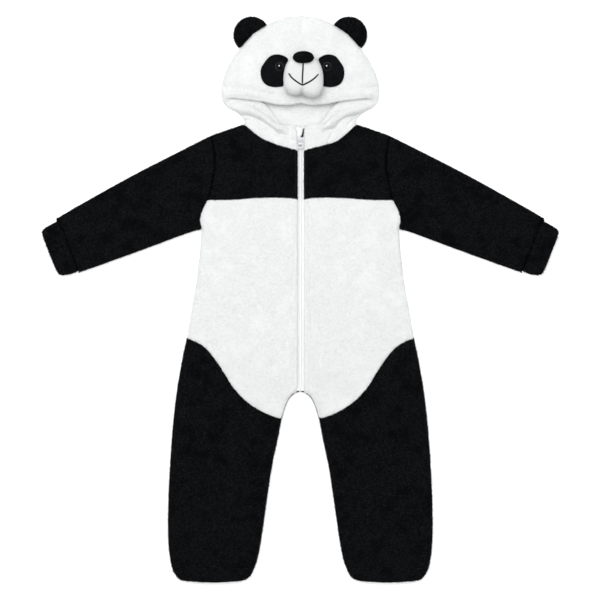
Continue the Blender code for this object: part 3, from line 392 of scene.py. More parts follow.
def frontLayer(points, zipSide=False):
    distance, away = nearest(points, outline)
    rise = rollOver(distance)
    half, height = cloth["gap"] / 2, frontRelief(points) * rise
    layer, wall, seam = cloth["layer"] - half, cloth["wall"], cloth["seamHeight"] + half
    if zipSide:
        fromEdge = np.abs(points[:, 0]) - cut["zipEdge"]
        (under, reach), (swellAt, swellWidth, swell) = zipTurn["under"], zipTurn["swell"]
        grooveAt, grooveWidth, grooveDepth = zipTurn["stitches"]
        height -= under * (1 - rollOver(fromEdge, reach)) - swell * bell(fromEdge - swellAt, swellWidth)
        height -= grooveDepth * bell(fromEdge - grooveAt, grooveWidth)
    outer = seam + layer * rise + height
    inner = np.minimum(seam + (layer - wall) * rise + np.maximum(height, 0) * 0.8, outer - 0.9 * rise)
    return np.column_stack([points, outer]), np.column_stack([points + tuckedIn(distance, away), inner])


def backLayer(points):
    distance, away = nearest(points, outline)
    rise = rollOver(distance)
    half = cloth["gap"] / 2
    layer, wall, seam = cloth["layer"] - half, cloth["wall"], cloth["seamHeight"] - half
    outer = seam - layer * rise + backRelief(points) * rise
    inner = seam - (layer - wall) * rise
    return np.column_stack([points, outer]), np.column_stack([points + tuckedIn(distance, away), inner])


def panelGrid(bottom, top, left, right):
    # plan points between four lines: bottom and top run right, left and right run up
    def shares(a, b):
        steps = np.linalg.norm(np.diff(a, axis=0), axis=1) + np.linalg.norm(np.diff(b, axis=0), axis=1)
        return np.concatenate([[0], np.cumsum(steps)]) / steps.sum()

    s, t = shares(bottom, top)[None, :, None], shares(left, right)[:, None, None]
    across = (1 - t) * bottom[None] + t * top[None]
    upward = (1 - s) * left[:, None] + s * right[:, None]
    corners = (1 - t) * ((1 - s) * bottom[0] + s * bottom[-1]) + t * ((1 - s) * top[0] + s * top[-1])
    return across + upward - corners


def meshPiece(name, points, faces, finish, pile):
    data = bpy.data.meshes.new(name)
    data.from_pydata((points * mm).tolist(), [], [list(face) for face in faces])
    data.validate()
    data.attributes.new("pile", "FLOAT", "POINT").data.foreach_set("value", np.asarray(pile, np.float32))
    data.materials.append(finish)
    work = bmesh.new()
    work.from_mesh(data)
    bmesh.ops.recalc_face_normals(work, faces=work.faces)
    if work.calc_volume(signed=True) < 0:
        bmesh.ops.reverse_faces(work, faces=work.faces)
    work.to_mesh(data)
    work.free()
    smoothSharp(data, 50)
    return placed(name, data)


def shell(name, outer, inner, finish, ring=False, outerPile=1.0, innerPile=0.0):
    # a closed cloth wall between two grids of points; with ring, the last column joins the first
    rows, columns = outer.shape[:2]
    points = np.vstack([outer.reshape(-1, 3), inner.reshape(-1, 3)])
    wrap = columns if ring else columns - 1
    i, j = (grid.ravel() for grid in np.meshgrid(np.arange(rows - 1), np.arange(wrap), indexing="ij"))
    k, i = (j + 1) % columns, i * columns
    quad = np.column_stack([i + j, i + k, i + columns + k, i + columns + j])
    size = rows * columns
    faces = [quad, quad[:, ::-1] + size]
    for row in (0, rows - 1):
        a = row * columns + np.arange(wrap)
        b = row * columns + (np.arange(wrap) + 1) % columns
        faces.append(np.column_stack([b, a, a + size, b + size]))
    if not ring:
        for column in (0, columns - 1):
            a = np.arange(rows - 1) * columns + column
            faces.append(np.column_stack([a, a + columns, a + columns + size, a + size]))
    pile = np.concatenate([np.broadcast_to(np.ravel(side), size) for side in (outerPile, innerPile)])
    return meshPiece(name, points, np.vstack(faces), finish, pile)


def awayFrom(points, line):
    start, step = line[:-1], np.diff(line, axis=0)
    share = np.clip(((points[:, None] - start) * step).sum(2) / (step**2).sum(1), 0, 1)
    return np.linalg.norm(points[:, None] - start - share[..., None] * step, axis=2).min(1)


# Sharp creases are pressed into the skin above the lowest height. The faces near them are cut finer in
# rounds of these reaches, down to the shortest edge, and the creases fade out at both ends of their lines.
pressing = {"lowest": 7.0, "reaches": (4.5, 2.5, 1.0), "shortest": 1.1, "fadeOut": 6.0, "flattenedAndShaded": 0.8}


def pressCreases(piece, lines):
    # the pile lies flat in the creases, and the fleece's colour there darkens as painted shade
    lines = [(depth, width, smooth(line, 6)) for depth, width, line in lines]
    work = bmesh.new()
    work.from_mesh(piece.data)
    for reach in (*pressing["reaches"], None):
        work.normal_update()
        work.verts.index_update()
        spots = np.array([vertex.co[:] for vertex in work.verts]) / mm
        upward = np.array([vertex.normal.z for vertex in work.verts]) > 0.3
        upward &= spots[:, 2] > pressing["lowest"]
        far = [np.where(upward, awayFrom(spots[:, :2], line), 999.0) for _, _, line in lines]
        if reach is not None:
            close = np.min([gap - 2.4 * width for gap, (_, width, _) in zip(far, lines)], axis=0) < reach
            chosen = [edge for edge in work.edges if all(close[vertex.index] for vertex in edge.verts)]
            chosen = [edge for edge in chosen if edge.calc_length() > pressing["shortest"] * mm]
            bmesh.ops.subdivide_edges(work, edges=chosen, cuts=1, use_grid_fill=True)
    pile = work.verts.layers.float["pile"]
    drop, flat = np.zeros(len(spots)), np.ones(len(spots))
    for gap, (depth, width, line) in zip(far, lines):
        ends = np.linalg.norm(spots[:, None, :2] - line[[0, -1]], axis=2).min(1)
        fade = np.clip(ends / pressing["fadeOut"], 0, 1)
        drop = np.maximum(drop, depth * bell(gap, width) * fade)
        flat = np.minimum(flat, 1 - pressing["flattenedAndShaded"] * bell(gap, 1.2 * width) * fade)
    for vertex in work.verts:
        vertex.co.z -= drop[vertex.index] * mm
        vertex[pile] *= flat[vertex.index]
    bmesh.ops.triangulate(work, faces=[face for face in work.faces if len(face.verts) > 4])
    work.to_mesh(piece.data)
    work.free()


# Node maths: a socket that adds its Math nodes when it is added, multiplied and so on
class Signal:
    def __init__(self, nodes, socket):
        self.nodes, self.socket = nodes, socket

    def maths(self, operation, first, second=None, clamp=False):
        inputs = {0: first} if second is None else {0: first, 1: second}
        return self.nodes.node("ShaderNodeMath", {"operation": operation, "use_clamp": clamp}, inputs)

    def __add__(self, other):
        return self.maths("ADD", self, other)

    __radd__ = __add__

    def __sub__(self, other):
        return self.maths("SUBTRACT", self, other)

    def __rsub__(self, other):
        return self.maths("SUBTRACT", other, self)

    def __mul__(self, other):
        return self.maths("MULTIPLY", self, other)

    __rmul__ = __mul__

    def clamped(self):
        return self.maths("ADD", self, 0.0, clamp=True)


class Nodes:
    def __init__(self, tree):
        self.tree = tree

    def node(self, kind, settings=None, inputs=None, output=0):
        made = self.tree.nodes.new(kind)
        for name, value in (settings or {}).items():
            setattr(made, name, value)
        for name, value in (inputs or {}).items():
            if isinstance(value, Signal):
                self.tree.links.new(value.socket, made.inputs[name])
            else:
                made.inputs[name].default_value = value
        return Signal(self, made.outputs[output])


class Finish(Nodes):
    # one material, built node by node around its Principled shader
    def __init__(self, name, **constants):
        self.material = bpy.data.materials.new(name)
        self.material.use_nodes = True
        super().__init__(self.material.node_tree)
        self.shader = self.tree.nodes["Principled BSDF"]
        for socket, value in constants.items():
            self.shader.inputs[socket.replace("_", " ")].default_value = value

    def place(self, stretch=(1, 1, 1), turn=(0, 0, 0)):
        spot = self.node("ShaderNodeTexCoord", output="Object")
        return self.node("ShaderNodeMapping", {}, {"Vector": spot, "Scale": stretch, "Rotation": turn})

    def noise(self, size, detail=3.0, roughness=0.5, where=None):
        # an uneven value from 0 to 1 with features of about this size in mm
        inputs = {"Vector": where or self.place(), "Scale": 1 / (size * mm)}
        return self.node("ShaderNodeTexNoise", {}, {**inputs, "Detail": detail, "Roughness": roughness})

    def mix(self, share, first, second):
        inputs = {"Factor": share, 6: first, 7: second}
        return self.node("ShaderNodeMix", {"data_type": "RGBA"}, inputs, output=2)

    def feed(self, socket, signal):
        self.tree.links.new(signal.socket, self.shader.inputs[socket])

    def bump(self, height, depth):
        # depth in mm
        inputs = {"Height": height, "Distance": depth * mm, "Strength": 1.0}
        self.feed("Normal", self.node("ShaderNodeBump", {}, inputs))

    def pile(self):
        return self.node("ShaderNodeAttribute", {"attribute_name": "pile"}, output="Fac")


class Layout(Nodes):
    # one Geometry Nodes tree with named inputs, whose result becomes a plain mesh
    def __init__(self, name, **inputs):
        super().__init__(bpy.data.node_groups.new(name, "GeometryNodeTree"))
        self.tree.interface.new_socket("Geometry", in_out="OUTPUT", socket_type="NodeSocketGeometry")
        self.sockets = {}
        for label, kind in {"Geometry": "Geometry", **inputs}.items():
            made = self.tree.interface.new_socket(label, in_out="INPUT", socket_type="NodeSocket" + kind)
            self.sockets[label] = made.identifier
        start = self.tree.nodes.new("NodeGroupInput")
        self.given = {socket.name: Signal(self, socket) for socket in start.outputs if socket.name}

    def end(self, geometry):
        self.tree.links.new(geometry.socket, self.tree.nodes.new("NodeGroupOutput").inputs[0])

    def build(self, name, source, **values):
        modifier = source.modifiers.new("layout", "NODES")
        modifier.node_group = self.tree
        for label, value in values.items():
            modifier[self.sockets[label]] = value
        data = evaluatedMesh(source)
        source.modifiers.remove(modifier)
        data.name = name
        return placed(name, data)


def tone(red, green, blue):
    # an sRGB colour from 0 to 255 as Blender's linear one
    shares = [channel / 255 for channel in (red, green, blue)]
    return (*(((share + 0.055) / 1.055) ** 2.4 if share > 0.04 else share / 12.92 for share in shares), 1.0)


fleeceLook = {
    "white": {"light": tone(240, 241, 240), "shade": tone(229, 231, 231), "sheen": 0.2, "gloss": 0.15},
    "black": {"light": tone(15, 16, 18), "shade": tone(2, 3, 4), "sheen": 0.0, "gloss": 0.03},
}


def fleece(colour, name):
    # coral fleece: short soft pile in small tufts that lie this way and that
    look = fleeceLook[colour]
    soft = {"Roughness": 0.95, "Sheen_Weight": look["sheen"], "Sheen_Roughness": 0.5}
    finish = Finish(name, Specular_IOR_Level=look["gloss"], **soft)
    broad, tufts = finish.noise(26.0, 2.0), finish.noise(3.2, 3.0, 0.6)
    fibre = finish.noise(0.9, 2.0, 0.6, finish.place((1.0, 0.45, 1.0), (0, 0, 0.5)))
    # where the pile is parted or pressed flat, at seams, creases, the insides and underneath, the colour
    # falls to the shade tone: painted shade
    share = (broad * 0.35 + tufts * 0.45 + fibre * 0.35 - 0.1) * (finish.pile() * 1.6).clamped()
    finish.feed("Base Color", finish.mix(share.clamped(), look["shade"], look["light"]))
    finish.bump(tufts * 0.7 + fibre * 0.3, 0.7)
    return finish.material


whiteFleece = fleece("white", "whiteCoralFleece")
blackFleece = fleece("black", "blackCoralFleece")
print("finishes of the cloth made")


allSides = ("left", "right", "top", "bottom")


def spacedPanel(bottom, top, left, right, rolled=("left", "right")):
    # a fine panel grid between four dense lines
    long = max((bottom, top), key=lambda line: runLength(line)[-1])
    tall = max((left, right), key=lambda line: runLength(line)[-1])
    across = fineShares(runLength(long)[-1], "left" in rolled, "right" in rolled)
    upward = fineShares(runLength(tall)[-1], "bottom" in rolled, "top" in rolled)
    bottom, top = atShares(bottom, across), atShares(top, across)
    return panelGrid(bottom, top, atShares(left, upward), atShares(right, upward))


def layered(grid, layer, **options):
    shape = grid.shape[:2]
    outer, inner = layer(grid.reshape(-1, 2), **options)
    return outer.reshape(*shape, 3), inner.reshape(*shape, 3)


pieces = {}
cuts = {}  # the flat cut of each sheet: its area, width and length
everySide = (("l", np.array), ("r", mirrored))


def planArea(grid):
    along, across = grid[1:, 1:] - grid[:-1, :-1], grid[1:, :-1] - grid[:-1, 1:]
    return np.abs(along[..., 0] * across[..., 1] - along[..., 1] * across[..., 0]).sum() / 2


def flatCut(grid, layers=1, axis=(0, 1)):
    # a tube is cut twice as wide as it lies
    along = np.array(axis, float) / np.linalg.norm(axis)
    across = np.array([along[1], -along[0]])
    flat = grid.reshape(-1, 2)
    return [layers * planArea(grid), layers * np.ptp(flat @ across), np.ptp(flat @ along)]


def makeFronts():
    neck = np.vstack([neckSeam(np.linspace(0, 1, 60)), np.array(cut["shoulder"])[1:]])
    yokeSeam, legSeam = smooth(cut["yokeSeam"]), smooth(cut["legSeam"])
    zipTop = np.array([yokeSeam[0], cut["neckFront"]])
    zipBody = np.array([cut["crotch"][0], yokeSeam[0]])
    grids = {
        "front_yoke": spacedPanel(yokeSeam, neck, zipTop, smooth(cut["armholeYoke"]), allSides),
        "front_body": spacedPanel(
            cutLine("crotch", "legSeam"), yokeSeam, zipBody, cutLine("side", "armholeBody"), allSides
        ),
        "front_leg": spacedPanel(
            smooth(cut["legHem"]), legSeam, smooth(cut["legInside"]), smooth(cut["legOutside"]), allSides
        ),
    }
    for name, grid in grids.items():
        cuts[name] = flatCut(grid)
    for side, turn in everySide:
        for name, grid in grids.items():
            finish = whiteFleece if name == "front_body" else blackFleece
            skins = layered(turn(grid), frontLayer, zipSide=name != "front_leg")
            pile = frontPileAndShade(turn(grid).reshape(-1, 2))
            skins = [towardZip(skin, side) for skin in skins]
            pieces[f"{name}_{side}"] = shell(f"cloth_{name}_{side}", *skins, finish, outerPile=pile)


def wholeWidth(half):
    return np.vstack([mirrored(half[:0:-1]), half])


def makeBacks():
    shoulder = np.array(cut["shoulder"])
    neck = wholeWidth(np.vstack([[(0.0, cut["neckBack"])], shoulder]))
    yokeLine = np.array([mirrored(np.array(cut["yokeSeam"][-1])), cut["yokeSeam"][-1]])
    armhole, outside = smooth(cut["armholeYoke"]), cutLine("side", "armholeBody")
    middleSeam = [cut["backCrotch"], cut["backSeamTop"]]
    inside = np.vstack([smooth(cut["legInside"]), smooth(cut["crotch"])[-2:0:-1], middleSeam])
    seam = smooth(cut["backLegSeam"])
    yoke = spacedPanel(yokeLine, neck, mirrored(armhole), armhole, ("top",))
    body = spacedPanel(wholeWidth(seam), yokeLine, mirrored(outside), outside)
    leg = spacedPanel(smooth(cut["legHem"]), seam, inside, smooth(cut["legOutside"]))
    for name, grid, finish in (("back_yoke", yoke, blackFleece), ("back_body", body, whiteFleece)):
        pieces[name] = shell(f"cloth_{name}", *layered(grid, backLayer), finish)
        cuts[name] = flatCut(grid)
    cuts["back_leg"] = flatCut(leg)
    for side, turn in everySide:
        skins = layered(turn(leg), backLayer)
        pieces[f"back_leg_{side}"] = shell(f"cloth_back_leg_{side}", *skins, blackFleece)


tube = {"endRound": 2.6, "endLeast": 0.4, "pileAndShadeBelow": 0.25}


def tubePiece(name, grid, runs, finish, endRoll=False):
    # a cloth tube pressed flat: the plan grid on top, and again below from its far edge back
    shape = grid.shape[:2]
    flat = grid.reshape(-1, 2)
    distance, away = gridNearest(grid, runs)
    distance[:, [0, -1]] = 0.0
    rise = rollOver(distance)
    seam, middle = cloth["seamHeight"], (cloth["layer"] - cloth["wall"] / 2) * rise
    up, down = (relief(flat).reshape(shape) * rise for relief in (frontRelief, backRelief))
    half = cloth["wall"] / 2 * rise
    if endRoll:  # the doubled end is rounded over
        fromEnd = np.linalg.norm(grid[-1, shape[1] // 2] - grid[:, shape[1] // 2], axis=1)
        half *= (rollOver(fromEnd, tube["endRound"]) * (1 - tube["endLeast"]) + tube["endLeast"])[:, None]
    above, below = seam + middle + up + half, seam - middle + down - half
    insideAbove, insideBelow = np.minimum(seam + middle + up - half, above), seam - middle + half
    inset = grid + tuckedIn(distance, away)
    outer, inner = (
        np.concatenate([np.dstack([plan, high]), np.dstack([plan, low])[:, -2:0:-1]], axis=1)
        for plan, high, low in ((grid, above, below), (inset, insideAbove, insideBelow))
    )
    pile = frontPileAndShade(outer[..., :2].reshape(-1, 2)).reshape(outer.shape[:2])
    # below, the thinner pile also darkens the fleece's colour, as painted shade
    pile[:, shape[1] :] *= tube["pileAndShadeBelow"]  # sparse below, where the garment lies on the floor
    pieces[name] = shell("cloth_" + name, outer, inner, finish, ring=True, outerPile=pile)


def makeSleeves():
    armhole, cuffSeam = cutLine("armholeBody", "armholeYoke"), smooth(cut["cuffSeam"])
    sleeve = spacedPanel(armhole, cuffSeam, smooth(cut["sleeveUnder"]), smooth(cut["sleeveTop"]), allSides)
    under, top = smooth(cut["cuffUnder"]), smooth(cut["cuffTop"])
    start = cuffSeam.copy()
    start[0], start[-1] = cut["cuffUnder"][0], cut["cuffTop"][0]
    cuff = spacedPanel(start, smooth(cut["cuffEnd"]), under, top, allSides)
    sleeveRun = np.array(cut["cuffSeam"]).mean(0) - np.array(cut["armholeYoke"]).mean(0)
    cuts["sleeve"], cuts["cuff"] = flatCut(sleeve, 2, sleeveRun), flatCut(cuff, 2, sleeveRun)
    for side, turn in everySide:
        tubePiece(f"sleeve_{side}", turn(sleeve), outline[::-1], blackFleece)
        tubePiece(f"cuff_{side}", turn(cuff), [top, under[::-1]], blackFleece, endRoll=True)


makeFronts()
makeBacks()
makeSleeves()
print("panels, sleeves and cuffs made")

hood = {
    "domeHeight": 7.0, "domeReach": 60.0, "hemWidth": 25.0, "rowSteps": 5, "columns": 35, "lowest": 3.9,
    "pinch": 2.6, "pinchReach": 28.0, "pinchAt": (110.0, 331.0), "collarLift": 0.7, "liftReach": 4.0,
    "narrow": 18.0,  # lines across the hood that are shorter than this have no lift and no fine rim
    "rimRound": 3.0, "backRun": 130.0, "cutSize": (255.0, 222.0),
    # depth and half width of its grooves
    "neckSeam": (0.9, 1.7), "brimStitch": (2.2, 2.4), "brimPuff": (-1.5, 6.0), "backSeam": (0.3, 1.8),
    "insideHem": (0.8, 2.0), "insideHemUp": 283.5,
    # the pile above and below: that of the outside, then that of the inside; where it is sparse the fleece's
    # colour is darker, as painted shade
    "piles": ((1.0, 0.3), (0.0, 0.6)),
}
# Lines on the collar, left (x > 0) and right: depth, half width and points. The lapel rolls up, with a
# crease below it; the others are pressed in.
lapels = {
    "l": {
        "roll": (-6.0, 8.0, [(108, 316), (83, 310), (67, 303), (54, 294), (40, 285)]),
        "crease": (2.6, 3.4, [(93.2, 303.3), (75.9, 298.8), (63.7, 290.2), (54.9, 283.1), (41.1, 278.0)]),
        "stitch": (1.3, 1.9, [(112, 322), (93.2, 318), (67.2, 311), (48, 301), (38, 291)]),
        "drape": (1.6, 3.4, [(58.5, 284.0), (49.8, 267.6), (42.6, 256.9)]),
        "corner": (1.6, 2.6, [(93.5, 298.0), (86, 293.4), (80.4, 289.2)]),
    },
    "r": {
        "roll": (-6.0, 8.0, [(-108, 316), (-83, 311), (-65, 302.5), (-50, 291.5), (-34, 281)]),
        "crease": (2.6, 3.4, [(-92, 303), (-75.2, 298.8), (-57.9, 288.4), (-42.2, 276.2), (-24.9, 271.1)]),
        "stitch": (1.3, 1.9, [(-110, 328), (-89.1, 323), (-71.8, 314.5), (-54.3, 304.1), (-38, 290)]),
        "drape": (1.6, 3.4, [(-30, 273), (-44, 262), (-52, 255)]),
        "corner": (1.6, 2.6, [(-90.6, 294.2), (-84, 295.8), (-78, 296.6)]),
        "placket": (1.4, 1.6, [(-17.8, 283), (-17, 270), (-16.2, 257)]),
    },
}
# sharp creases of the collar: depth, half width and line
creases = {
    "l": [
        (1.7, 1.3, [(72.3, 312.9), (63.6, 309.4), (55.0, 305.0), (46.3, 296.4), (40.2, 290.8)]),
        (2.1, 1.4, [
            (103.6, 307.6), (96.7, 305.0), (89.6, 302.5), (75.8, 299.9), (65.4, 293.8), (59.3, 286.0),
            (53.2, 280.8), (39.4, 279.9),
        ]),
        (1.3, 1.3, [(55.9, 279.1), (51.6, 272.0), (46.3, 261.6), (43.7, 257.3)]),
        (1.4, 1.3, [(93.1, 299.9), (81.1, 291.1), (77.6, 284.2)]),
    ],
    "r": [
        (1.7, 1.3, [(-81.2, 319.7), (-67.4, 312.0), (-53.4, 304.1), (-37.9, 297.2), (-30.0, 290.2)]),
        (2.1, 1.4, [
            (-90.8, 302.5), (-77.8, 300.6), (-64.0, 293.7), (-53.4, 286.8), (-44.8, 280.7), (-38.7, 274.6),
            (-30.8, 270.3),
        ]),
        (1.4, 1.3, [(-88.2, 297.2), (-82.1, 293.7)]),
        (1.2, 1.2, [(-21.4, 286.0), (-18.8, 279.1), (-17.8, 266.9), (-17.8, 253.0)]),
    ],
}
brimStitch = [
    (-127, 350), (-93.4, 347.5), (-69.8, 342.2), (-46, 338.4), (0, 337), (46, 338.4), (69.8, 342.2),
    (93.4, 347.5), (127, 350),
]
brimPuff = [
    (-118, 338), (-88, 337.5), (-62, 333), (-38, 329.5), (0, 329.5), (38, 329.5), (62, 333), (88, 337.5),
    (118, 338),
]
crownFolds = [
    (-66, 442, -62, 404, 9, -1.8), (70, 440, 84, 398, 10, -1.9), (-100, 424, -96, 392, 8, -1.5),
    (102, 412, 108, 380, 8, -1.4), (-20, 455, -14, 425, 12, -1.0), (28, 452, 20, 424, 11, -0.9),
    (-112, 372, -84, 362, 9, -1.2), (114, 370, 86, 358, 9, -1.2), (-48, 440, -40, 420, 10, 1.0),
    (48, 438, 54, 412, 10, 1.0), (-84, 412, -80, 384, 9, 0.9), (86, 404, 90, 374, 9, 0.9),
    (-104, 337, -60, 331, 7, 0.9), (98, 338, 58, 331, 7, 0.9), (-30, 329, 4, 327, 6, -0.6),
]
insideFolds = [(-26, 322, -8, 300, 7, -0.7), (30, 318, 16, 296, 7, -0.7), (-44, 310, -30, 292, 6, 0.6)]


def crownForm(points):
    distance, _ = nearest(points, outline)
    dome = 1 - (1 - np.clip(distance / hood["domeReach"], 0, 1)) ** 2
    return cloth["seamHeight"] + cloth["layer"] * rollOver(distance) + hood["domeHeight"] * dome


def crownHeight(points):
    distance, _ = nearest(points, outline)
    detail = foldHeight(points, crownFolds)
    detail += groove(points, smooth(brimStitch, 8), *hood["brimStitch"])
    detail += groove(points, smooth(brimPuff, 8), *hood["brimPuff"])
    detail += unevenness(points, "crown")
    return crownForm(points) + detail * rollOver(distance)


def collarHeight(points, side):
    distance, _ = nearest(points, outline)
    corner = np.array(hood["pinchAt"]) * (1 if side == "l" else -1, 1)
    fromCorner = np.clip(np.linalg.norm(points - corner, axis=1) / hood["pinchReach"], 0, 1)
    relief = unevenness(points, "collar")
    for depth, width, line in lapels[side].values():
        relief += groove(points, smooth(np.abs(line), 10), depth, width)
    relief += groove(ontoHalf(points), neckSeam(np.linspace(0, 1, 20)), *hood["neckSeam"])
    level = cloth["layer"] - hood["pinch"] * (1 - fromCorner)
    return cloth["seamHeight"] + (level + relief * fromCorner) * rollOver(distance)


def insideRelief(points):
    # the hood's back as seen through the face opening: its middle seam, soft hollows, the hem seam below
    (seamDepth, seamWidth), (hemDepth, hemWidth) = hood["backSeam"], hood["insideHem"]
    fromHem = points[:, 1] - hood["insideHemUp"]
    seam = -seamDepth * bell(points[:, 0], seamWidth) - hemDepth * bell(fromHem, hemWidth)
    return seam + foldHeight(points, insideFolds) + unevenness(points, "inside")


def acrossHood(reach):
    # distances from the opening's edge to the outline, closer together at both ends
    if reach < hood["narrow"]:
        return reach * np.linspace(0, 1, hood["columns"]) ** 0.6
    rim = np.array([0, 0.3, 0.8, 1.5, 2.4, 3.6, 5.0, 7.0])
    fromOutline = np.array([9.0, 7.5, 6.0, 4.5, 3.2, 2.0, 1.0, 0.4, 0.0])
    count = hood["columns"] - len(rim) - len(fromOutline) + 2
    between = np.linspace(rim[-1], reach - fromOutline[0], count)[1:-1]
    return np.concatenate([rim, between, reach - fromOutline])


def makeHood():
    wall, layer, seam = cloth["wall"], cloth["layer"], cloth["seamHeight"]
    lines = smooth(hoodLines, hood["rowSteps"])
    edge, top, thick = lines[:, 0:2], lines[:, 2:3], lines[:, 3:4]
    outside, backUp, level = lines[:, 4:6], lines[:, 6], np.clip(lines[:, 7:8], 0, 1)
    rows, span = len(lines), outside - edge
    length = np.linalg.norm(span, axis=1)[:, None]
    run = np.array([acrossHood(reach) for reach in length[:, 0]])
    shares = (run / length)[..., None]
    upper = edge[:, None] + span[:, None] * shares
    # the lowest lines sag to the neck seam
    sag = neckSeam(shares[0, :, 0]) - upper[0]
    fade = np.clip(1 - np.arange(rows) / (4.0 * hood["rowSteps"]), 0, 1) ** 1.5
    upper = upper + sag[None] * fade[:, None, None]
    backShares = fineShares(hood["backRun"], True, False)[None, :, None]
    seamPoint = np.column_stack([np.zeros(rows), backUp])
    lower = outside[:, None] * (1 - backShares) + seamPoint[:, None] * backShares

    shape, lowShape = upper.shape[:2], lower.shape[:2]
    distance, away = gridNearest(upper, outline)
    distance[:, -1] = 0.0
    lowDistance, lowAway = gridNearest(lower, outline)
    rise, lowRise = rollOver(distance), rollOver(lowDistance)
    inset, lowInset = upper + tuckedIn(distance, away), lower + tuckedIn(lowDistance, lowAway)
    # the doubled hem is thicker than the rest, and its rim is round
    nearEdge = np.clip(1 - run / np.minimum(12.0, 0.5 * length), 0, 1)
    hemmed = np.clip(1.3 * (1 - run / np.minimum(hood["hemWidth"] * 1.2, 0.7 * length)), 0, 1)
    thickness = wall * (1 - hemmed) + thick * hemmed
    rimRound = rollOver(run, hood["rimRound"])
    collarLift = hood["collarLift"] * (1 - level) * bell(run, hood["liftReach"]) * (length > hood["narrow"])
    piles = []
    for above, below in hood["piles"]:
        piles.append(np.hstack([np.full(shape, above), np.full((rows, lowShape[1] - 1), below)]))
    for side, turn in everySide:
        here, lowHere = turn(upper.reshape(-1, 2)), turn(lower.reshape(-1, 2))
        collar, crown = collarHeight(here, side).reshape(shape), crownHeight(here).reshape(shape)
        surface = (1 - level) * collar + level * crown
        surface[:, -1] = seam
        outer = surface * (1 - nearEdge) + top * nearEdge
        inner = seam + (surface - seam) * np.where(rise > 0, (layer - wall * rise) / layer, 1)
        inner = np.where(distance >= cloth["roll"], outer - thickness, inner)
        rolling = (distance < cloth["roll"]) & (nearEdge > 0)
        inner = np.where(rolling, np.maximum(outer - thickness, hood["lowest"]), inner)
        inner = np.maximum(inner, hood["lowest"] * (distance > 6))
        outer = outer + collarLift
        centre, half = (outer + inner) / 2, (outer - inner) / 2
        outer, inner = centre + half * rimRound, centre - half * rimRound
        underSkin = seam - layer * lowRise + backRelief(lowHere).reshape(lowShape) * lowRise
        underInside = seam - (layer - wall) * lowRise + insideRelief(lowHere).reshape(lowShape) * lowRise
        skins = []
        for above, below in (
            (np.dstack([upper, outer]), np.dstack([lower, underSkin])),
            (np.dstack([inset, inner]), np.dstack([lowInset, underInside])),
        ):
            skin = np.concatenate([above, below[:, 1:]], axis=1)
            skin[..., 0] = np.maximum(skin[..., 0], 0.02)
            skins.append(towardZip(turn(skin), side))
        pieces[f"hood_{side}"] = shell(f"cloth_hood_{side}", *skins, whiteFleece, False, *piles)
        pressCreases(pieces[f"hood_{side}"], creases[side])
    cuts["hood"] = [planArea(upper) + planArea(lower), *hood["cutSize"]]


makeHood()
print("hood made")

face = {
    "middle": 5.0, "muzzleUp": 362.5, "cleftDown": 12.0, "cleftDepth": 3.2, "cleftWidth": 1.9,
    "cleftLean": 2.5, "muzzleRise": 20.0, "noseUp": 394.6, "noseSize": (34.2, 21.2), "eyeClear": (7.5, 2.0),
    "patchThick": 2.0, "patchNarrow": {"l": 0.935, "r": 1.0}, "eyeOut": 39.0, "eyeUp": 382.3,
}
muzzleOutline = [
    (5.0, 401.5), (19.5, 399.0), (30.0, 387.0), (36.0, 373.5), (37.4, 356.0), (35.9, 342.5), (29.5, 333.0),
    (20.0, 329.9), (9.5, 332.1), (2.5, 336.5), (-6.0, 334.3), (-15.0, 334.9), (-23.6, 341.0), (-27.2, 356.0),
    (-25.8, 373.5), (-19.7, 388.0), (-9.0, 399.0),
]
# share of the outline and height above the hood
muzzleRings = [
    (0.90, 0.0), (0.975, 4.5), (1.0, 11.0), (0.985, 18.0), (0.93, 23.5), (0.8, 28.5), (0.58, 31.6),
    (0.3, 33.0), (0.0, 33.2),
]
noseRings = [(0.8, 0.0), (1.0, 2.2), (0.96, 4.6), (0.78, 7.0), (0.45, 8.4), (0.0, 8.8)]
patchOutline = [
    (25.2, 394.0), (32.6, 399.8), (42.1, 402.1), (53.5, 399.8), (61.9, 391.5), (68.9, 380.2), (70.1, 369.5),
    (66.4, 357.7), (58.4, 351.1), (48.4, 348.7), (37.5, 349.2), (32.9, 351.5), (32.6, 367.0), (30.0, 383.0),
]
patchRings = [
    (0.5, 0.0), (0.97, 0.0), (0.995, 0.6), (1.0, 1.2), (0.985, 1.9), (0.95, 2.3), (0.8, 2.3), (0.6, 2.2),
    (0.4, 2.2), (0.2, 2.2),
]
eyeProfile = [
    (7.3, 0.0), (7.3, 0.7), (7.0, 1.1), (6.5, 1.2), (6.0, 1.0), (5.6, 0.5), (5.4, 1.0), (5.2, 2.2),
    (4.6, 4.0), (3.5, 5.3), (1.9, 6.15), (0.0, 6.45),
]


def loopThrough(points, count):
    points = np.array(points, float)
    dense = smooth(np.vstack([points[-2:], points, points[:3]]))[48:-48]
    return atShares(dense, np.linspace(0, 1, count, endpoint=False))


def filled(name, rings, finish, pile=1.0):
    # a closed body through rings of points; the last ring is drawn to a point
    count = len(rings[0])
    points = np.vstack([*rings, rings[0].mean(0)[None], rings[-1].mean(0)[None]])
    j = np.arange(count)
    k = (j + 1) % count
    faces = []
    for start in range(0, (len(rings) - 1) * count, count):
        faces.append(np.column_stack([start + j, start + k, start + count + k, start + count + j]))
    last = (len(rings) - 1) * count
    ends = [np.column_stack([k, j, np.full(count, len(points) - 2)])]
    ends.append(np.column_stack([last + j, last + k, np.full(count, len(points) - 1)]))
    allFaces = [face for group in faces + ends for face in group.tolist()]
    return meshPiece(name, points, allFaces, finish, np.broadcast_to(pile, len(points)))


def lifted(points, heights):
    return np.column_stack([points, np.broadcast_to(heights, len(points))])


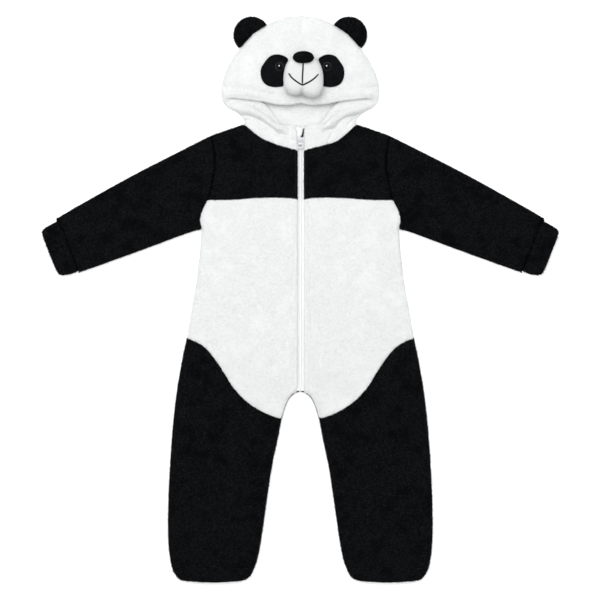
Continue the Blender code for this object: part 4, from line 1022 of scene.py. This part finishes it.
def plush(name, light, shade, sheen):
    # short even plush of the face pieces
    finish = Finish(name, Roughness=0.9, Sheen_Weight=sheen, Sheen_Roughness=0.45, Specular_IOR_Level=0.05)
    soft, fine = finish.noise(9.0, 2.0), finish.noise(1.6, 2.0, 0.6)
    finish.feed("Base Color", finish.mix((soft * 0.5 + fine * 0.5).clamped(), shade, light))
    finish.bump(fine, 0.5)
    return finish.material


muzzlePlush = plush("muzzlePlush", tone(232, 232, 231), tone(222, 223, 224), 0.1)
patchPlush = plush("patchPlush", tone(24, 25, 27), tone(6, 7, 8), 0.0)
nosePlush = plush("nosePlush", tone(15, 15, 16), tone(5, 5, 6), 0.0)


def cleft(points):
    down = face["cleftDown"]
    lower = np.clip((face["muzzleUp"] - down - points[:, 1]) / down, 0, 1)
    across = points[:, 0] - face["middle"] + face["cleftLean"] * lower
    return face["cleftDepth"] * lower * bell(across, face["cleftWidth"])


def muzzleTop(points):
    middle = np.array([face["middle"], face["muzzleUp"]])
    around = loopThrough(muzzleOutline, 60) - middle
    turn = np.arctan2(around[:, 1], around[:, 0])
    order = np.argsort(turn)
    here = points - middle
    angles = np.arctan2(here[:, 1], here[:, 0])
    reach = np.interp(angles, turn[order], np.linalg.norm(around, axis=1)[order], period=2 * math.pi)
    share = np.clip(np.linalg.norm(here, axis=1) / reach, 0, 0.985)
    dome = smooth(muzzleRings[2:], 8)[::-1]
    rise = np.interp(share, dome[:, 0], dome[:, 1])
    parted = cleft(points) * np.minimum(1.0, rise / face["muzzleRise"])
    return crownForm(points) + cloth["gap"] + rise - parted


def makeMuzzle():
    middle = np.array([face["middle"], face["muzzleUp"]])
    around = loopThrough(muzzleOutline, 120) - middle
    rings = [lifted(middle + around * 0.45, crownForm(middle + around * 0.45) + cloth["gap"])]
    for share, height in smooth(muzzleRings, 6)[:-1]:
        loop = middle + around * share
        parted = cleft(loop) * min(1.0, height / face["muzzleRise"])
        ripple = unevenness(loop, "muzzle") * min(1.0, height / 6.0)
        rings.append(lifted(loop, crownForm(loop) + cloth["gap"] + height - parted + ripple))
    pieces["muzzle"] = filled("plush_muzzle", rings, muzzlePlush)


def makeNose():
    angles = np.linspace(0, 2 * math.pi, 48, endpoint=False)
    # a rounded oblong, flatter along its lower edge
    oval = np.column_stack([np.cos(angles), np.sin(angles)])
    oval *= (1 + 0.02 * np.sin(2 * angles) ** 2)[:, None]
    oval[:, 1] = np.maximum(oval[:, 1], -0.95 + 0.05 * oval[:, 0] ** 2)
    centre, size = np.array([face["middle"], face["noseUp"]]), np.array(face["noseSize"]) / 2
    under = centre + oval * size * 0.4
    rings = [lifted(under, muzzleTop(under) + 2 * cloth["gap"])]
    for share, height in smooth(noseRings, 4)[:-1]:
        loop = centre + oval * size * max(share, 0.02)
        rings.append(lifted(loop, muzzleTop(loop) + 2 * cloth["gap"] + height))
    pieces["nose"] = filled("plush_nose", rings, nosePlush)


def makePatches():
    for side, turn in (("l", 1.0), ("r", -1.0)):
        inmost = min(patchOutline)[0]
        narrow = [(inmost + (out - inmost) * face["patchNarrow"][side], up) for out, up in patchOutline]
        around = loopThrough(narrow, 72)
        middle, facing = around.mean(0), np.array([turn, 1.0])
        rings, pile = [], []
        for share, height in patchRings:
            loop = middle + (around - middle) * share
            fromEye = np.linalg.norm(loop - (face["eyeOut"], face["eyeUp"]), axis=1)
            loop = loop * facing + (face["middle"], 0.0)
            rings.append(lifted(loop, crownForm(loop) + cloth["gap"] + height))
            clear, fading = face["eyeClear"]
            pile.append(np.clip((fromEye - clear) / fading, 0, 1))
        pile = np.concatenate([*pile, [0.0, 0.0]])
        pieces[f"eye_patch_{side}"] = filled(f"plush_eye_patch_{side}", rings, patchPlush, pile)
        onward = np.roll(around, -1, axis=0)
        area = abs((around[:, 0] * onward[:, 1] - around[:, 1] * onward[:, 0]).sum()) / 2
        cuts[f"eye_patch_{side}"] = [area, *np.ptp(around, axis=0)]


def eyeGloss():
    # polished black plastic with a faint brown depth, matt on its rim
    finish = Finish("eyeGloss", Specular_IOR_Level=0.12)
    finish.feed("Roughness", finish.pile() * 0.9 + 0.1)
    finish.feed("Base Color", finish.mix(finish.noise(3.0), tone(4, 4, 5), tone(9, 7, 7)))
    return finish.material


def makeEyes():
    gloss = eyeGloss()
    angles = np.linspace(0, 2 * math.pi, 40, endpoint=False)
    unit = np.column_stack([np.cos(angles), np.sin(angles)])
    for side, turn in (("l", 1.0), ("r", -1.0)):
        at = np.array([face["middle"] + turn * face["eyeOut"], face["eyeUp"]])
        seat = crownForm(at + unit * eyeProfile[0][0]).max() + face["patchThick"] + 2 * cloth["gap"]
        profile = smooth(eyeProfile, 4)
        rings = [lifted(at + unit * max(radius, 0.05), seat + height) for radius, height in profile]
        rim = np.append(np.repeat(profile[:, 0] > 5.3, len(unit)), [True, False])
        pieces[f"eye_{side}"] = filled(f"safety_eye_{side}", rings, gloss, rim.astype(float))


ear = {"centre": (80.3, 435.9), "radius": 29.6, "middle": (87.6, 443.9), "height": 8.5, "pleat": (7.5, 4.2)}
earRings = [(1.0, 0.0), (0.985, 0.42), (0.93, 0.72), (0.8, 0.93), (0.55, 1.0), (0.25, 1.0), (0.02, 1.0)]


def makeEars():
    line = smooth(hoodLines, 5)[:, 4:6]
    centre, middle = np.array(ear["centre"]), np.array(ear["middle"])
    base = atShares(line[np.linalg.norm(line - centre, axis=1) < ear["radius"]], np.linspace(0, 1, 22))
    normal = unitRows(np.gradient(base, axis=0)[:, ::-1] * [1, -1])
    normal *= np.sign((normal * (middle - base)).sum(1))[:, None]
    base = base + normal * cloth["gap"]
    ends = [math.atan2(*(base[k] - centre)[::-1]) for k in (-1, 0)]
    if ends[1] > ends[0]:
        ends[1] -= 2 * math.pi
    angles = np.linspace(*ends, 52)[1:-1]
    around = np.vstack([base, centre + ear["radius"] * np.column_stack([np.cos(angles), np.sin(angles)])])
    depth, width = ear["pleat"]
    above, below = [], []
    for share, rise in smooth(earRings, 5)[:-1]:
        loop = middle + (around - middle) * share
        along, far = alongSegment(loop, base[len(base) // 2], middle)
        pleat = depth * bell(far, width * (1 + along)) * rise * (1 - 0.75 * along)
        ripple = unevenness(loop, "ear") * rise
        above.append(lifted(loop, cloth["seamHeight"] + ear["height"] * rise - pleat + ripple))
        if rise > 0.02:
            below.append(lifted(loop, cloth["seamHeight"] - cloth["layer"] * min(1.0, 1.3 * rise)))
    for side, turn in everySide:
        rings = [turn(ring) for ring in below[::-1] + above]
        pieces[f"ear_{side}"] = filled(f"plush_ear_{side}", rings, blackFleece)


makeMuzzle()
makeNose()
makePatches()
makeEyes()
makeEars()
print("face and ears made")

# the zip: one row for each station up the tape, with the line where the halves meet, half of the space
# between them, how far the tape reaches and how much lower it lies
zipStations = [
    (-151.5, 0.0, 0.15, 6.4, 0.4), (-147.5, 0.0, 0.15, 6.6, 0.2), (-144.0, 0.0, 0.15, 13.0, 0.0),
    (-60.0, 0.0, 0.15, 13.0, 0.0), (25.0, 0.0, 0.15, 13.0, 0.0), (110.0, 0.0, 0.15, 13.0, 0.0),
    (195.0, 0.0, 0.15, 13.0, 0.0), (252.0, 0.0, 0.15, 13.0, 0.0), (264.9, 0.1, 0.2, 13.0, 0.0),
    (265.6, 1.0, 2.4, 13.0, 0.2), (266.6, 2.1, 3.8, 13.0, 0.5), (268.0, 3.0, 3.2, 13.0, 0.9),
    (270.0, 3.8, 2.6, 13.0, 1.3), (273.0, 4.6, 2.5, 13.0, 1.6), (277.0, 5.3, 2.4, 13.0, 1.8),
    (283.0, 6.2, 2.3, 13.0, 1.8),
]
fastener = {
    "tapeLow": 5.9, "tapeHigh": 6.7, "rib": (2.9, 3.3, 3.9, 4.3), "ribHeight": 0.25,
    "toothPitch": 1.3, "toothRadius": 0.4, "toothSides": 5, "sliderEdge": 0.35, "pivot": (0.0, 262.3, 11.5),
    "tabPlate": 0.25, "tabEdge": 0.28, "tabBead": 0.42, "beadUp": 0.33,
}
# one tooth of the coil, out and up
toothPath = [(2.8, 6.9), (2.65, 7.8), (2.0, 8.25), (1.0, 8.35), (-0.1, 8.25), (-0.75, 7.8), (-0.8, 7.2)]
# the pull tab's rim, window and eye, half width and down from the pivot
tabOutline = [
    (3.0, -0.75), (3.4, 0.4), (3.5, 3.8), (4.8, 7.0), (6.0, 9.8), (6.2, 11.6), (5.2, 13.5), (2.9, 14.6),
]
tabWindow = [(1.7, 0.75), (1.7, 4.7)]
tabEye = [(1.2, 8.2), (2.5, 8.8), (2.8, 9.7), (2.4, 10.6), (1.0, 11.2)]


def wovenTape():
    finish = Finish("wovenZipTape", Roughness=0.75, Sheen_Weight=0.2, Specular_IOR_Level=0.3)
    spot = finish.place()
    threads = []
    for direction, scale in (("X", 160.0), ("Y", 260.0)):
        inputs = {"Vector": spot, "Scale": scale, "Distortion": 0.5}
        threads.append(finish.node("ShaderNodeTexWave", {"bands_direction": direction}, inputs))
    weave = threads[0] * 0.6 + threads[1] * 0.4
    share = (weave * 0.5 + finish.noise(6.0) * 0.5).clamped()
    finish.feed("Base Color", finish.mix(share, tone(243, 243, 244), tone(248, 248, 249)))
    finish.bump(weave, 0.12)
    return finish.material


def coilNylon():
    finish = Finish("zipCoilNylon", Roughness=0.42, Specular_IOR_Level=0.5)
    finish.feed("Base Color", finish.mix(finish.noise(4.0), tone(252, 252, 252), tone(255, 255, 255)))
    return finish.material


def paintedMetal(name, worn, sound):
    finish = Finish(name, Roughness=0.45, Specular_IOR_Level=0.3, Coat_Weight=0.1, Coat_Roughness=0.4)
    finish.feed("Base Color", finish.mix(finish.noise(1.6, 3.0), worn, sound))
    finish.bump(finish.noise(0.5), 0.03)
    return finish.material


def thread(name, shade, light):
    finish = Finish(name, Roughness=0.6, Sheen_Weight=0.3)
    finish.feed("Base Color", finish.mix(finish.noise(0.7), shade, light))
    return finish.material


zipTape, zipCoil = wovenTape(), coilNylon()
zipMetal = paintedMetal("zipPaintedMetal", tone(212, 213, 216), tone(226, 227, 229))
# darker metals for the tab's beads: painted shade round its rim, painted shadow round its eye
rimShadeMetal = paintedMetal("zipRimMetal", tone(172, 173, 178), tone(192, 193, 198))
eyeletShadowMetal = paintedMetal("zipEyeletMetal", tone(138, 139, 143), tone(160, 161, 165))
whiteThread = thread("whiteThread", tone(228, 229, 231), tone(250, 250, 250))
blackThread = thread("blackThread", tone(12, 12, 13), tone(36, 36, 38))


def rod(name, path, radius, sides, finish):
    # a round bar along a path of points, closed at both ends
    path = np.array(path, float)
    ahead = unitRows(np.gradient(path, axis=0))
    across = unitRows(np.cross(ahead, (0, 0, 1) if abs(ahead[:, 2]).max() < 0.9 else (0, 1, 0)))
    up = np.cross(across, ahead)
    turn = np.linspace(0, 2 * math.pi, sides, endpoint=False)[None, :, None]
    radius = np.broadcast_to(radius, len(path))[:, None, None]
    rings = path[:, None] + radius * (across[:, None] * np.cos(turn) + up[:, None] * np.sin(turn))
    return filled(name, list(rings), finish, 0.0)


def rowLayout():
    # sets copies of one item along lines, turned to follow them
    layout = Layout("rowAlongLine", Item="Object", Spacing="Float", Finish="Material")
    curve = layout.node("GeometryNodeMeshToCurve", {}, {"Mesh": layout.given["Geometry"]})
    inputs = {"Curve": curve, "Length": layout.given["Spacing"]}
    points = layout.node("GeometryNodeResampleCurve", {"mode": "LENGTH"}, inputs)
    along = layout.node("GeometryNodeInputTangent")
    axes = {"axis": "Y", "pivot_axis": "Z"}
    aim = layout.node("FunctionNodeAlignRotationToVector", axes, {"Vector": along})
    item = layout.node("GeometryNodeObjectInfo", {}, {"Object": layout.given["Item"]}, output=4)
    inputs = {"Points": points, "Instance": item, "Rotation": aim}
    row = layout.node("GeometryNodeInstanceOnPoints", {}, inputs)
    solid = layout.node("GeometryNodeRealizeInstances", {}, {"Geometry": row})
    inputs = {"Geometry": solid, "Material": layout.given["Finish"]}
    layout.end(layout.node("GeometryNodeSetMaterial", {}, inputs))
    return layout


row = rowLayout()


def alongLine(name, points, item, spacing, finish):
    data = bpy.data.meshes.new(name + "_line")
    data.from_pydata((points * mm).tolist(), [(k, k + 1) for k in range(len(points) - 1)], [])
    line = placed(name + "_line", data)
    piece = row.build(name, line, Item=item, Spacing=spacing * mm, Finish=finish)
    bpy.data.objects.remove(line)
    piece.data.shade_smooth()
    return piece


extras = []  # (piece, body, slot, the pieces that it is on)


def makeZip():
    low, high = fastener["tapeLow"], fastener["tapeHigh"]
    for side, turn in (("l", 1.0), ("r", -1.0)):
        rings = []
        for up, lean, part, reach, drop in zipStations:
            start = turn * lean + part
            rib, ribHigh = [start + out for out in reversed(fastener["rib"])], high + fastener["ribHeight"]
            across = (start, reach, reach, *rib, start)
            height = (low, low, high, high, ribHigh, ribHigh, high, high)
            rings.append(np.array([(turn * x, up, z - drop) for x, z in zip(across, height)]))
        pieces[f"zip_tape_{side}"] = filled(f"woven_zip_tape_{side}", rings, zipTape, 0.0)
        pieces[f"zip_tape_{side}"].data.shade_flat()
        path = [(turn * (x - 0.15), 0, z) for x, z in toothPath]
        tooth = rod("tooth", path, fastener["toothRadius"], fastener["toothSides"], zipCoil)
        offset = 0.5 * fastener["toothPitch"] if side == "r" else 0.0
        stations = np.array([(lean + turn * part, up, -drop) for up, lean, part, _, drop in zipStations[1:]])
        stations[0, 1] += offset
        coil = alongLine(f"coil_zip_teeth_{side}", stations, tooth, fastener["toothPitch"], zipCoil)
        bpy.data.objects.remove(tooth)
        extras.append((coil, "garment", "zip_tape", [f"zip_tape_{side}"]))


def makeSlider():
    body = placed("zip_slider_body", bpy.data.objects["zip_slider"].data.copy())
    work = bmesh.new()
    work.from_mesh(body.data)
    bmesh.ops.remove_doubles(work, verts=work.verts, dist=0.00001)
    bmesh.ops.dissolve_limit(work, angle_limit=0.02, verts=work.verts, edges=work.edges)
    work.to_mesh(body.data)
    work.free()
    bevel = body.modifiers.new("edges", "BEVEL")
    bevel.width, bevel.segments, bevel.limit_method = fastener["sliderEdge"] * mm, 3, "ANGLE"
    data = evaluatedMesh(body)
    body.modifiers.clear()
    body.data = data
    data.materials.clear()
    data.materials.append(zipMetal)
    smoothSharp(data, 35)
    pieces["zip_slider"] = body


def tabLoop(half):
    half = smooth(half, 6)
    return np.vstack([half, half[::-1] * [-1, 1]])


def makeTab():
    # a plate with rounded edges, and a raised bead round its rim and round its eye; the rim bead is darker as
    # painted shade along the outline, the eye's bead darker still as painted shadow in the hole
    curve = bpy.data.curves.new("tab", "CURVE")
    curve.dimensions, curve.fill_mode = "2D", "BOTH"
    edge = fastener["tabEdge"] * mm
    curve.extrude, curve.bevel_resolution = fastener["tabPlate"] * mm, 2
    curve.bevel_depth, curve.offset = edge, -edge
    window = np.vstack([tabWindow, mirrored(np.array(tabWindow[::-1]))])
    for loop in (tabLoop(tabOutline), window, tabLoop(tabEye)):
        spline = curve.splines.new("POLY")
        spline.points.add(len(loop) - 1)
        spline.use_cyclic_u = True
        for point, (x, down) in zip(spline.points, loop):
            point.co = (x * mm, -down * mm, 0.0, 1.0)
    flat = placed("tab", curve)
    plate = bmesh.new()
    plate.from_mesh(evaluatedMesh(flat))
    bpy.data.objects.remove(flat)
    for slotIndex, loop, inset in ((1, tabLoop(tabOutline), 0.5), (2, tabLoop(tabEye), -0.5)):
        centre = loop.mean(0)
        size = np.abs(loop - centre).max(0)
        inner = centre + (loop - centre) * (size - inset) / size
        path = np.column_stack([inner[:, 0], -inner[:, 1], np.full(len(inner), fastener["beadUp"])])
        bead = ringTube(path, fastener["tabBead"], 8)
        bead.polygons.foreach_set("material_index", [slotIndex] * len(bead.polygons))
        plate.from_mesh(bead)
        bpy.data.meshes.remove(bead)
    bmesh.ops.translate(plate, verts=plate.verts, vec=np.array(fastener["pivot"]) * mm)
    data = bpy.data.meshes.new("zip_pull_tab")
    plate.to_mesh(data)
    plate.free()
    for finish in (zipMetal, rimShadeMetal, eyeletShadowMetal):
        data.materials.append(finish)
    smoothSharp(data, 50)
    return placed("zip_pull_tab", data)


def ringTube(path, radius, sides):
    # a closed tube round a flat loop
    ahead = np.roll(path, -1, axis=0) - np.roll(path, 1, axis=0)
    ahead /= np.maximum(np.linalg.norm(ahead, axis=1), 1e-9)[:, None]
    across = np.cross(ahead, (0, 0, 1))
    turn = np.linspace(0, 2 * math.pi, sides, endpoint=False)
    around = across[:, None] * np.cos(turn)[:, None] + np.array([0, 0, 1]) * np.sin(turn)[:, None]
    rings = path[:, None] + radius * around
    count = len(path)
    i, j = (grid.ravel() for grid in np.meshgrid(np.arange(count), np.arange(sides), indexing="ij"))
    k, m = (i + 1) % count, (j + 1) % sides
    faces = np.column_stack([i * sides + j, k * sides + j, k * sides + m, i * sides + m])
    data = bpy.data.meshes.new("ring")
    data.from_pydata((rings.reshape(-1, 3) * mm).tolist(), [], faces.tolist())
    work = bmesh.new()
    work.from_mesh(data)
    bmesh.ops.recalc_face_normals(work, faces=work.faces)
    work.to_mesh(data)
    work.free()
    return data


makeZip()
makeSlider()
pullTab = makeTab()
print("zip made")

stitching = {
    "length": 2.4, "spacing": 3.3, "radius": 0.28, "zipOut": 9.1, "sink": 0.1, "allowanceUp": 5.6,
    "allowanceRadius": 0.9,
}


def onFront(line):
    outer, _ = frontLayer(line, zipSide=True)
    return towardZip(outer, "r" if line[0, 0] < 0 else "l") - [0, 0, stitching["sink"]]


def onCrown(line):
    return lifted(line, crownHeight(line) - stitching["sink"])


def makeStitches():
    length = stitching["length"]
    path = [(0, y * length / 2, z * 0.3) for y, z in ((-1, -1), (-0.8, 0), (0, 0.5), (0.8, 0), (1, -1))]
    item = rod("stitch", path, stitching["radius"] * np.array([0.6, 1, 1, 1, 0.6]), 5, whiteThread)
    out, hemUp = stitching["zipOut"], hem["low"] + hem["stitchUp"]
    # straight rows: both ends, the points between them, thread, slot and the piece that they are on
    straight = {
        "zip_body": ((out, -140), (out, 162), 60, whiteThread, "white_fleece", "front_body"),
        "zip_yoke": ((out, 170), (out, 243), 20, blackThread, "black_fleece", "front_yoke"),
        "hem": ((88, hemUp), (200, hemUp), 30, blackThread, "black_fleece", "front_leg"),
    }
    brim = onCrown(smooth(brimStitch[1:-1], 12))
    rows = {"brim": (brim, whiteThread, "white_fleece", ["hood_l", "hood_r"])}
    for side, turn in everySide:
        for name, (start, end, count, finish, slot, on) in straight.items():
            line = onFront(turn(np.linspace(start, end, count)))
            rows[f"{name}_{side}"] = (line, finish, slot, [f"{on}_{side}"])
        # the dark seam allowance that shows along the crotch
        edge = turn(smooth(cut["crotch"], 8)[4:]) + [0, -0.5]
        edge = lifted(edge, stitching["allowanceUp"])
        seam = rod(f"crotch_seam_{side}", edge, stitching["allowanceRadius"], 6, blackThread)
        extras.append((seam, "garment", "black_fleece", [f"back_leg_{side}"]))
    for name, (line, finish, slot, on) in rows.items():
        stitches = alongLine("stitches_" + name, line, item, stitching["spacing"], finish)
        extras.append((stitches, "garment", slot, on))
    bpy.data.objects.remove(item)


mouth = {
    "lip": [
        (-19.0, 368.2), (-14.8, 361.8), (-9.5, 357.0), (-3.4, 352.6), (3.4, 349.2), (10.2, 351.6),
        (17.0, 355.3), (24.0, 360.6), (29.8, 366.9),
    ],
    "bridge": [(4.8, 386.5), (4.3, 376.0), (3.6, 363.0), (3.4, 350.4)],
    "width": 2.5, "high": 1.2, "lift": 0.15, "under": 0.5,
}


def satinStitch():
    # close threads laid across a narrow line; the pattern follows the line's own map
    finish = Finish("satinStitchThread", Roughness=0.6, Sheen_Weight=0.05, Specular_IOR_Level=0.2)
    spot = finish.node("ShaderNodeTexCoord", output="UV")
    inputs = {"Vector": spot, "Scale": 40.0, "Distortion": 0.3}
    threads = finish.node("ShaderNodeTexWave", {"bands_direction": "X"}, inputs)
    finish.feed("Base Color", finish.mix(threads, tone(3, 3, 4), tone(13, 13, 15)))
    finish.bump(threads, 0.15)
    return finish.material


def makeMouth():
    finish = satinStitch()
    for name in ("lip", "bridge"):
        line = smooth(mouth[name], 10)
        across = unitRows(np.gradient(line, axis=0))[:, ::-1] * [1, -1]
        taper = np.minimum(1.0, 0.45 + 0.25 * np.arange(len(line)))
        taper = np.minimum(taper, taper[::-1])[:, None] * mouth["width"] / 2
        rows = []
        for angle in np.linspace(0, math.pi, 7):
            points = line + across * taper * math.cos(angle)
            rows.append(lifted(points, muzzleTop(points) + mouth["lift"] + mouth["high"] * math.sin(angle)))
        under = lifted(line, muzzleTop(line) - mouth["under"])
        rings = np.stack(rows + [under], axis=1)
        piece = filled("mouth_" + name, list(rings), finish, 0.0)
        sheetMap = piece.data.uv_layers.new(name="thread")
        run, sides = runLength(line), rings.shape[1]
        for corner in piece.data.loops:
            place, turned = divmod(corner.vertex_index, sides)
            sheetMap.data[corner.index].uv = (run[min(place, len(run) - 1)] * 0.01, turned / 8)
        extras.append((piece, "garment", "nose_plush", ["muzzle"]))


makeStitches()
makeMouth()
print("stitches and mouth made")

# The nap: length and width of a tuft in mm, tufts to the square mm, how far they lean in radians and the
# size of the swirls in which they lie; then the share of them in the second tone
nap = {
    "fleece": {"Length": 3.6, "Width": 0.63, "Density": 1.05, "LeanLow": 0.1, "LeanHigh": 0.4, "Swirl": 34.0},
    "under": {"Length": 3.2, "Width": 0.9, "Density": 0.3, "LeanLow": 0.1, "LeanHigh": 0.4, "Swirl": 34.0},
    "plush": {"Length": 1.3, "Width": 0.4, "Density": 2.5, "LeanLow": 0.2, "LeanHigh": 0.7, "Swirl": 12.0},
}
secondShare = {"white": 0.6, "black": 0.4, "muzzle": 0.5}


def tuftFinish(name, colour, sheen):
    fixed = {"Roughness": 0.9, "Sheen_Weight": sheen, "Sheen_Roughness": 0.5, "Specular_IOR_Level": 0.05}
    return Finish(name, Base_Color=colour, **fixed).material


# the two tones of each colour, and their sheen
tuftTones = {
    "white": (("whiteNap", tone(239, 241, 240), 0.2), ("whiteNapShade", tone(228, 230, 229), 0.2)),
    "black": (("blackNap", tone(7, 8, 9), 0.0), ("blackNapLight", tone(28, 29, 31), 0.02)),
    "muzzle": (("muzzleNap", tone(231, 232, 232), 0.1), ("muzzleNapShade", tone(223, 224, 224), 0.1)),
}
tufts = {colour: [tuftFinish(*look) for look in looks] for colour, looks in tuftTones.items()}


def napLayout():
    sizes = ("Length", "Width", "Density", "LeanLow", "LeanHigh", "Swirl", "SecondShare")
    layout = Layout("napOfTufts", **{size: "Float" for size in sizes}, Finish="Material", Second="Material")
    given, node = layout.given, layout.node

    def chance(low, high, seed):
        inputs = {2: low, 3: high, "Seed": seed}
        return node("FunctionNodeRandomValue", {"data_type": "FLOAT"}, inputs, output=1)

    def moved(geometry, **values):
        return node("GeometryNodeTransform", {}, {"Geometry": geometry, **values})

    pile = node("GeometryNodeInputNamedAttribute", {"data_type": "FLOAT"}, {"Name": "pile"})
    inputs = {"Mesh": given["Geometry"], "Density": pile * given["Density"], "Seed": 7}
    points = node("GeometryNodeDistributePointsOnFaces", {}, inputs)
    upright = Signal(layout, points.socket.node.outputs["Rotation"])
    position = node("GeometryNodeInputPosition")
    swirls = node("ShaderNodeTexNoise", {}, {"Vector": position, "Scale": given["Swirl"], "Detail": 1.0})
    spin = swirls * (2 * math.pi) + chance(-2.4, 2.4, 1)
    tilt = chance(given["LeanLow"], given["LeanHigh"], 2) * -1.0
    lean = node("ShaderNodeCombineXYZ", {}, {"Y": tilt, "Z": spin})
    lean = node("FunctionNodeEulerToRotation", {}, {"Euler": lean})
    inputs = {"Rotation": upright, "Rotate By": lean}
    turn = node("FunctionNodeRotateRotation", {"rotation_space": "LOCAL"}, inputs)
    # a tuft is a single tapered blade with its root at the middle
    blade = node("GeometryNodeMeshCircle", {"fill_type": "NGON"}, {"Vertices": 3, "Radius": 1.0})
    size = {"X": given["Length"] * (1 / 1.5), "Y": given["Width"] * (1 / 1.73), "Z": 0.001}
    blade = moved(moved(blade, Translation=(0.5, 0, 0)), Scale=node("ShaderNodeCombineXYZ", {}, size))
    inputs = {"Points": points, "Instance": blade, "Rotation": turn, "Scale": chance(0.65, 1.2, 3)}
    laid = node("GeometryNodeInstanceOnPoints", {}, inputs)
    solid = node("GeometryNodeRealizeInstances", {}, {"Geometry": laid})
    # no tuft goes below the floor
    height = node("ShaderNodeSeparateXYZ", {}, {"Vector": position}, output=2)
    lift = node("ShaderNodeCombineXYZ", {}, {"Z": height.maths("MAXIMUM", height, 0.0001) - height})
    solid = node("GeometryNodeSetPosition", {}, {"Geometry": solid, "Offset": lift})
    solid = node("GeometryNodeSetMaterial", {}, {"Geometry": solid, "Material": given["Finish"]})
    clouds = node("ShaderNodeTexNoise", {}, {"Vector": position, "Scale": 42.0, "Detail": 2.0})
    inputs = {"Probability": given["SecondShare"] * (clouds * 5.0 - 1.5).clamped(), "Seed": 5}
    second = node("FunctionNodeRandomValue", {"data_type": "BOOLEAN"}, inputs, output=3)
    inputs = {"Geometry": solid, "Selection": second, "Material": given["Second"]}
    layout.end(node("GeometryNodeSetMaterial", {}, inputs))
    return layout


napOf = napLayout()
plushPieces = ("muzzle", "nose", "eye_patch_l", "eye_patch_r")


def makeNap():
    total = 0
    for name in [name for name in pieces if not name.startswith(("zip", "eye_l", "eye_r"))]:
        kind = "plush" if name in plushPieces else "under" if name.startswith("back") else "fleece"
        look = nap[kind]
        values = {label: look[label] * mm for label in ("Length", "Width")}
        values |= {label: look[label] for label in ("LeanLow", "LeanHigh")}
        values |= {"Density": look["Density"] / mm**2, "Swirl": 1 / (look["Swirl"] * mm)}
        colour = {"white_fleece": "white", "muzzle_plush": "muzzle"}.get(slots[name], "black")
        values |= {"SecondShare": secondShare[colour]}
        values |= dict(zip(("Finish", "Second"), tufts[colour]))
        piece = napOf.build("nap_" + name, pieces[name], **values)
        total += len(piece.data.polygons)
        extras.append((piece, "garment", slots[name], [name]))
    print("nap laid,", total, "tufts")


def slotOf(name):
    if name.startswith(("front_body", "back_body", "hood")):
        return "white_fleece"
    if name.startswith("eye_patch"):
        return "patch_plush"
    if name.startswith("eye"):
        return "safety_eye"
    if name.startswith("zip_tape"):
        return "zip_tape"
    others = {"muzzle": "muzzle_plush", "nose": "nose_plush", "zip_slider": "zip_metal"}
    return others.get(name, "black_fleece")


slots = {name: slotOf(name) for name in pieces}
makeNap()

# what each piece stands for and rides on
for name, piece in pieces.items():
    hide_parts(name)
    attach(piece, "garment")
for piece, body, slot, _ in extras:
    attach(piece, body)
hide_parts("zip_pull")
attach(pullTab, "pull_tab")

cuts["zip_tape"] = [13.0 * 434.5, 13.2, 434.5]  # its mean width times its length, width and length
fills = {"muzzle": 0.9, "nose": 0.8, "ear_l": 0.4, "ear_r": 0.4}
for name, piece in pieces.items():
    flatCutOf = cuts.get(name) or cuts.get(name[:-2])
    if flatCutOf:
        going = [extra for extra, _, _, on in extras if on[0] == name]
    elif name in fills:
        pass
print("pieces declared,", len(pieces) + len(extras) + 1, "in all")

studio = {
    "height": 3.5, "lens": 127.0, "middle": (-0.0005, -0.00165), "world": 0.6,
    "floor": 3.0, "floorGlow": 0.45,
    "key": ((-0.45, 1.1, 2.35), 1.9, 45.0), "fill": ((0.8, -0.8, 2.5), 2.0, 10.0),
    "glint": ((-0.9, 1.3, 3.2), 2.2, 1300.0),
}


def makeCamera():
    camera = placed("camera", bpy.data.cameras.new("camera"))
    camera.location = (*studio["middle"], studio["height"])
    camera.data.lens = studio["lens"]
    camera.data.clip_end = 20
    bpy.context.scene.camera = camera


def makeLamp(name):
    place, size, power = studio[name]
    light = placed(name, bpy.data.lights.new(name, "AREA"))
    light.data.size, light.data.energy = size, power
    light.location = place
    light.rotation_euler = (-Vector(place)).to_track_quat("-Z", "Y").to_euler()
    light.visible_camera = False
    return light


def makeStudio():
    makeLamp("key")
    makeLamp("fill")
    # a lamp for the eyes alone
    shiny = bpy.data.collections.new("shiny")
    for side in "lr":
        shiny.objects.link(pieces[f"eye_{side}"])
    glint = makeLamp("glint")
    glint.light_linking.receiver_collection = shiny
    glint.visible_diffuse = False
    world = bpy.data.worlds.new("studio")
    bpy.context.scene.world = world
    world.use_nodes = True
    world.node_tree.nodes["Background"].inputs["Color"].default_value = (1, 1, 1, 1)
    world.node_tree.nodes["Background"].inputs["Strength"].default_value = studio["world"]
    bpy.context.scene.view_settings.view_transform = "Standard"
    wide, low = studio["floor"], -0.5 * mm
    corners = [(x * wide, y * wide, low) for x, y in ((-1, -1), (1, -1), (1, 1), (-1, 1))]
    data = bpy.data.meshes.new("floor")
    data.from_pydata(corners, [], [(0, 1, 2, 3)])
    floor = placed("floor", data)
    white = (0.9, 0.9, 0.9, 1)
    glow = {"Emission_Color": white, "Emission_Strength": studio["floorGlow"]}
    data.materials.append(Finish("floor", Base_Color=white, Roughness=0.9, **glow).material)


makeCamera()
makeStudio()
print("camera and studio made")
